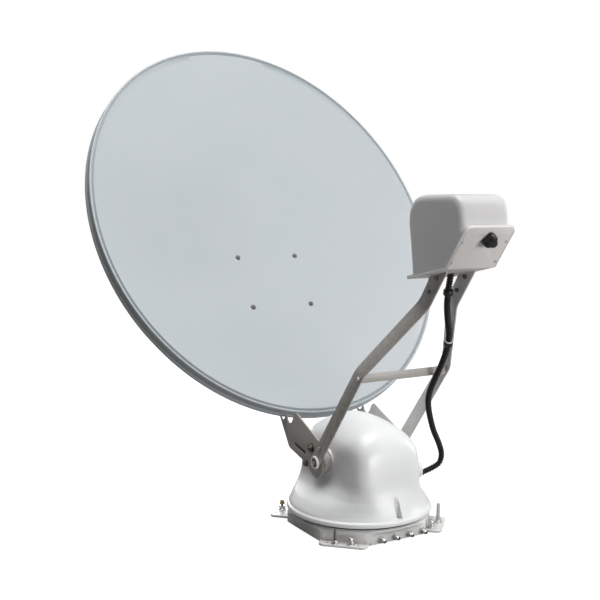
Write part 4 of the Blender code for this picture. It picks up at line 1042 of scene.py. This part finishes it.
def build_arm_top_bolts():
    for side, sign in SIDES:
        for k, (y, z) in enumerate(ARM_TOP_BOLTS, 1):
            origin, way = (sign * ARM_TOP_X, y, z), (sign, 0, 0)
            head = hex_piece("head", origin, way, 0.0072, 0.0002, 0.0034, turn=0.5 * k)
            nut = hex_piece("nut", origin, way, 0.0072, -0.0068, -0.0032, turn=0.2)
            ends = [(sign * (ARM_TOP_X + step), y, z) for step in (-0.008, 0.001)]
            stem = rod("stem", *ends, 0.0026)
            show(merged(f"arm_top_bolt_{side}_{k}", head, nut, stem), "elevation_frame", DARK_STEEL)


def build_crossbar():
    bar = block("crossbar", (-0.102, -0.159, 0.333), (0.102, -0.156, 0.35))
    show(softened(bar, 0.0006), "elevation_frame", RAIL_PAINT, ("arm_crossbar",))


PIVOT_RING = (
    (0.0096, 0.1061), (0.0128, 0.1061), (0.0135, 0.1068), (0.0135, 0.1112), (0.0126, 0.1122),
    (0.0106, 0.1122), (0.0096, 0.1113),
)


def build_pivots():
    centre = (0, 0, ELEVATION_Z)
    for side, sign in SIDES:
        axis = (sign, 0, 0)
        hub = collar(f"pivot_hub_{side}", centre, axis, 0.0103, 0.025, *HUB_X, 0.001, 96)
        # The hubs take the darker, shaded copy of the frame paint.
        show(hub, "elevation_frame", FRAME_PAINT_SHADED_COPY, (f"hub_{side}",))
        ring = turned(f"pivot_ring_{side}", PIVOT_RING, centre, axis, 96)
        show(ring, "elevation_frame", WHITE_NYLON, (f"pivot_washer_{side}",))
        washer = flat_washer(centre, axis, 0.0038, 0.0094, 0.1061, 0.1076)
        nut = hex_piece("nut", centre, axis, 0.013, 0.1077, 0.1118, turn=0.25)
        show(merged(f"pivot_nut_{side}", washer, nut), "elevation_frame", DARK_STEEL)
        stem = threaded(f"pivot_stem_{side}", centre, axis, 0.0038, 0.0862, 0.1152)
        show(stem, "elevation_frame", ZINC, (f"pivot_bolt_{side}",))


# ---- feed --------------------------------------------------------------------------------------
COVER_PROFILE = (
    (-0.248, 0.525), (-0.2385, 0.597), (-0.2325, 0.642), (-0.235, 0.662), (-0.244, 0.677),
    (-0.258, 0.6855), (-0.28, 0.688), (-0.352, 0.688), (-0.368, 0.6845), (-0.378, 0.674),
    (-0.3825, 0.656), (-0.385, 0.636), (-0.392, 0.627), (-0.406, 0.615), (-0.406, 0.525),
)
COVER_MIDDLE = Vector((-0.31, 0.6))
COVER_STATIONS = (
    (0.055, 0.015), (0.0547, 0.0112), (0.0538, 0.0076), (0.0522, 0.0045), (0.05, 0.0022), (0.0472, 0.0007),
    (0.044, 0.0), (0.022, 0.0),
)
COVER_CORNER = 0.008


def cover_case(name, inset):
    """The cover's full rounded form, or its inside, before it is cut off along the tray."""
    stations = [(-x, shrink) for x, shrink in COVER_STATIONS] + list(reversed(COVER_STATIONS))
    outline = [Vector(point) for point in fillet(COVER_PROFILE, COVER_CORNER, 4)]
    loops = []
    for x, shrink in stations:
        loop = []
        for point in outline:
            moved = point + (COVER_MIDDLE - point).normalized() * (shrink + inset)
            loop.append((x - math.copysign(inset, x), *moved))
        loops.append(loop)
    return loft(name, loops)


def tray_line(shift):
    """The tray's bend line in Y and Z, moved off its surface."""
    points = [Vector(point) for point in TRAY_POINTS]
    normals = []
    for a, b in zip(points, points[1:]):
        run = (b - a).normalized()
        normals.append(Vector((run.y, -run.x)))
    moved = []
    for k, point in enumerate(points):
        own = normals[min(k, len(normals) - 1)]
        way = (normals[max(0, k - 1)] + own).normalized()
        moved.append(point + way * (shift / way.dot(own)))
    return moved


def tray_strip(name, shift, thickness, inset):
    """The tray's bent sheet, or the cover's flange on it, with a rounded upper edge."""
    line = tray_line(shift)
    spans = [(point, TRAY_HALF_WIDTH) for point in line[:3]]
    for share in (0.3, 0.55, 0.75, 0.9, 1.0):
        half = TRAY_HALF_WIDTH - TRAY_CORNER * (1 - math.sqrt(1 - share**2))
        spans.append((line[2].lerp(line[3], share), half))
    stations = [((inset - half, *point), (half - inset, *point)) for point, half in spans]
    return folded_sheet(name, stations, thickness, -1.0)


def under_tray():
    """All that lies in front of the tray and below it, which is cut off the cover."""
    line = tray_line(SHEET + 0.0003)
    first = line[0] + (line[0] - line[1]).normalized() * 0.05
    last = line[-1] + (line[-1] - line[-2]).normalized() * 0.07
    front, low = -0.5, 0.45
    corners = [first, *line, last, Vector((front, last.y)), Vector((front, low)), Vector((first.x, low))]
    return loft("under", [[(x, *point) for point in corners] for x in (-0.08, 0.08)])


def plate_point(x, z):
    """The point on the tray's sloping plate at that height."""
    low, high = Vector(TRAY_POINTS[1]), Vector(TRAY_POINTS[2])
    share = (z - low.y) / (high.y - low.y)
    return Vector((x, low.lerp(high, share).x, z))


def plate_way():
    """The direction out of the sloping plate, away from the cover."""
    run = (Vector(TRAY_POINTS[2]) - Vector(TRAY_POINTS[1])).normalized()
    return Vector((0, -run.y, run.x))


BEAD_RADIUS = 0.0019
BEAD_CORNER = 0.014


def build_cover_bead():
    """The rounded bead on the cover's flange, round the tray's sides and its upper edge, in the dome's
    brighter white instead of the cover's own: painted light along the tray's edges.
    """
    line = tray_line(0.002)
    half = TRAY_HALF_WIDTH - BEAD_RADIUS
    path = [(half, point) for point in line[:3]]
    for step in range(1, 9):
        a = math.pi / 2 * step / 8
        path.append((half - BEAD_CORNER * (1 - math.cos(a)), line[2].lerp(line[3], 0.86 * math.sin(a))))
    path = [Vector((-x, *point)) for x, point in path] + [Vector((x, *point)) for x, point in reversed(path)]
    loops = tube_loops(path, 16, (path[1] - path[0]).orthogonal(), lambda k, a: BEAD_RADIUS)
    # Brighter white than the cover it belongs to: painted light on the bead.
    show(loft("cover_bead_painted_light", loops), "elevation_frame", GLOSS_WHITE, angle=60)


def build_tray():
    tray = tray_strip("tray_sheet", 0.0, SHEET, 0.0042)
    centre, way = plate_point(KNOB_X, KNOB_Z), plate_way()
    drill(tray, centre - way * 0.02, centre + way * 0.02, 0.0045)
    end = Vector(CONDUIT_ROUTE[-1])
    drill(tray, end + Vector((0, 0.0066, -0.03)), end + Vector((0, -0.0044, 0.02)), CONDUIT_RADIUS + 0.002)
    show(softened(tray, 0.0006), "elevation_frame", TRAY_PAINT, ("feed_tray",), angle=30)


def build_cover():
    cover = cover_case("cover_shell", 0.0)
    boolean(cover, tray_strip("flange", SHEET - 0.001, 0.0037, 0.0005), "UNION")
    boolean(cover, cover_case("hollow", SHEET))
    boolean(cover, under_tray())
    drill(cover, (0, -0.28, FEED_Z), (0, -0.2, FEED_Z), 0.03, 96)
    show(cover, "elevation_frame", COVER_WHITE, ("feed_cover",), angle=42)


# The horn's outline, with heights towards the dish, and the inner radii of the rings in its mouth.
HORN = (
    (0.0262, -0.244), (0.0275, -0.2442), (0.0275, -0.25), (0.015, -0.26), (0.013, -0.2637),
    (0.0105, -0.2637), (0.0108, -0.259), (0.024, -0.249),
)
HORN_RINGS = (0.014, 0.0185)
# The knob's forms: height and share of its full size.
KNOB_LEVELS = (
    (0.0008, 0.9), (0.0016, 0.98), (0.004, 1.0), (0.012, 0.97), (0.0146, 0.92), (0.0158, 0.8), (0.0163, 0.5),
)
KNOB_RADIUS = 0.0122
KNOB_LOBE = 0.0024
TRAY_SCREW = (
    (0.0, 0.0001), (0.003, 0.0001), (0.0031, 0.0005), (0.0026, 0.0013), (0.0012, 0.0017), (0.0, 0.0017),
)
TRAY_SCREWS = ((-0.049, 0.606), (0.049, 0.606), (-0.049, 0.57), (0.049, 0.57))


def build_horn():
    centre, way = (0, 0, FEED_Z), (0, 1, 0)
    parts = [turned("horn", HORN, centre, way, 96)]
    for r in HORN_RINGS:
        ring = ((r, -0.249), (r + 0.0012, -0.249), (r + 0.0012, -0.245), (r, -0.245))
        parts.append(turned("ring", ring, centre, way, 80))
    show(merged("horn_mouth", *parts), "feed", BLACK_PLASTIC, ("feed_horn",))


def build_knob():
    """The three-lobed skew knob on its stem."""
    centre, way = plate_point(KNOB_X, KNOB_Z), plate_way()
    place = axis_frame(centre, way)
    loops = []
    for height, scale in KNOB_LEVELS:
        loop = []
        for a in angles(72):
            radius = (KNOB_RADIUS + KNOB_LOBE * math.cos(3 * a)) * scale
            loop.append(place @ Vector((radius * math.sin(a), radius * math.cos(a), height)))
        loops.append(loop)
    stem = rod("stem", centre - way * 0.012, centre + way * 0.004, 0.0037)
    show(merged("knob_head", loft("head", loops), stem), "knob", BLACK_PLASTIC, ("skew_knob",))


def build_tray_screws():
    for k, spot in enumerate(TRAY_SCREWS, 1):
        screw = turned(f"tray_screw_{k}", TRAY_SCREW, plate_point(*spot), plate_way(), 28)
        show(screw, "elevation_frame", COVER_WHITE)


# ---- conduit -----------------------------------------------------------------------------------
SLEEVE_SIDES = 20
SLEEVE_RIPPLE = 0.0008
SLEEVE_RIPPLE_PITCH = 0.0056
# The clamps and the height at which each holds the conduit.
CLAMPS = {"lower": 0.403, "upper": 0.508}


def build_conduit():
    """The black sleeve, with a winding ripple that shows along its outline."""
    path = smoothed(CONDUIT_ROUTE, 48)
    lengths = [0.0]
    for a, b in zip(path, path[1:]):
        lengths.append(lengths[-1] + (b - a).length)

    def reach(k, a):
        ripple = SLEEVE_RIPPLE * math.sin(a + 2 * math.pi * lengths[k] / SLEEVE_RIPPLE_PITCH)
        return CONDUIT_RADIUS - 0.0006 + ripple

    bm = bmesh.new()
    uv = bm.loops.layers.uv.new("sleeve")
    loops = tube_loops(path, SLEEVE_SIDES, Vector(UP), reach)
    faces = skin(bm, [[bm.verts.new(point) for point in loop] for loop in loops])
    for number, face in enumerate(faces):
        k, j = divmod(number, SLEEVE_SIDES)
        for corner, (row, step) in zip(face.loops, ((k, j), (k, j + 1), (k + 1, j + 1), (k + 1, j))):
            corner[uv].uv = (lengths[row], step / SLEEVE_SIDES)
    sleeve = new_object("conduit_sleeve", bm)
    sleeve.data.materials.append(SLEEVE)
    sleeve.data.shade_smooth()
    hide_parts("conduit")
    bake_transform(sleeve)


def build_clamps():
    points = smoothed(CONDUIT_ROUTE, 3)
    inner = CONDUIT_RADIUS + 0.0004
    outer = inner + 0.0024
    for name, height in CLAMPS.items():
        k = min(range(len(points)), key=lambda i: abs(points[i].z - height))
        way = (points[k + 1] - points[k - 1]).normalized()
        outline = ((inner, -0.005), (outer - 0.0006, -0.005), (outer, -0.004), (outer, 0.004),
                   (outer - 0.0006, 0.005), (inner, 0.005))
        band = turned(f"clamp_band_{name}", outline, points[k], way, 40)
        show(band, "elevation_frame", BLACK_PLASTIC, (f"conduit_clamp_{name}",))
        if name == "lower":
            edge = inner + 0.0012
            outline = ((inner, 0.0056), (edge, 0.0056), (edge, 0.0086), (inner, 0.0086))
            stripe = turned("clamp_stripe", outline, points[k], way, 40)
            show(stripe, "elevation_frame", WHITE_NYLON)


# ---- nodes that keep their CAD shape -----------------------------------------------------------
KEPT = {
    "bottom_cover": BASE_PAINT, "spindle_post": CAST_ALLOY, "azimuth_gear": STEEL,
    "bearing_outer_ring": STEEL, "gap_seal": RUBBER, "turntable": CAST_ALLOY,
    "bearing_inner_ring": STEEL, "chassis": STEEL, "shaft_bearing_left": STEEL,
    "shaft_bearing_right": STEEL, "azimuth_motor": CAST_ALLOY, "elevation_motor": CAST_ALLOY,
    "control_board": BOARD, "azimuth_pinion": BRASS, "elevation_pinion": BRASS,
    "elevation_shaft": STEEL, "elevation_gear": STEEL, "lnb": CAST_ALLOY, "lnb_clamp": CAST_ALLOY,
}


def dress_kept_nodes():
    for name, material in KEPT.items():
        data = NODES[name].data
        data.materials.clear()
        data.materials.append(material)


# ---- stage -------------------------------------------------------------------------------------
WORLD_LEFT = 0.02
WORLD_RIGHT = 0.5
FLOOR_RADIUS = 40.0
FLOOR_GLOW = 0.94
# Softboxes: place, width and height, and power in watts.
LIGHTS = {
    "top_softbox": ((-0.2, -0.3, 2.8), (2.0, 1.8), 64),
    "front_softbox": ((0.8, -2.8, 0.45), (1.5, 0.9), 36),
    "right_softbox": ((2.4, -0.8, 1.0), (1.0, 1.8), 20),
    "rear_softbox": ((0.8, 2.8, 0.9), (1.8, 1.2), 40),
}
LIGHT_TARGET = (0, 0, 0.4)


def add_lights():
    for name, (place, size, power) in LIGHTS.items():
        data = bpy.data.lights.new(name, "AREA")
        data.shape = "RECTANGLE"
        data.size, data.size_y = size
        data.energy = power
        aimed(name, data, place, LIGHT_TARGET)


def floor_paper(name):
    """Pale paper that looks almost white to the camera and reflects little onto the object."""
    n = material_nodes(name)
    seen = n.add("ShaderNodeLightPath").outputs["Is Camera Ray"]
    return n.shade({
        "Base Color": n.mix(n.patches(2.0, 2.0, 0.0, 1.0), (0.23, 0.225, 0.22), (0.21, 0.205, 0.2)),
        "Roughness": 0.9,
        "Emission Color": WHITE,
        "Emission Strength": n.compute("MULTIPLY", seen, FLOOR_GLOW),
    })


def build_floor():
    edge = circle(FLOOR_RADIUS, segments=96)
    floor = loft("floor", [[(x, y, z) for x, y in edge] for z in (-0.02, -0.0005)])
    floor.data.materials.append(floor_paper("floor_paper"))


def build_world():
    """White behind the object; dimmer light from the left than from the right, the front and above."""
    n = Nodes(bpy.data.worlds.new("studio"), "Background")
    coords = n.add("ShaderNodeTexCoord").outputs["Generated"]
    across = n.add("ShaderNodeSeparateXYZ", {"Vector": coords}).outputs["X"]
    level = n.spread(across, WORLD_LEFT, WORLD_RIGHT, -1.0, 0.3)
    seen = n.add("ShaderNodeLightPath").outputs["Is Camera Ray"]
    strength = n.add("ShaderNodeMix", {0: seen, 2: level, 3: 1.0}, data_type="FLOAT").outputs[0]
    bpy.context.scene.world = n.shade({"Color": WHITE, "Strength": strength})
    bpy.context.scene.view_settings.view_transform = "Standard"


add_camera()
build_dish()
build_dish_bolts()
build_base()
build_coax_ports()
build_lug_fasteners()
build_dome()
build_head_screws()
build_gland()
build_brackets()
build_rails()
build_arms()
build_arm_top_bolts()
build_crossbar()
build_pivots()
build_tray()
build_cover()
build_cover_bead()
build_horn()
build_knob()
build_tray_screws()
build_conduit()
build_clamps()
dress_kept_nodes()
build_floor()
build_world()
add_lights()
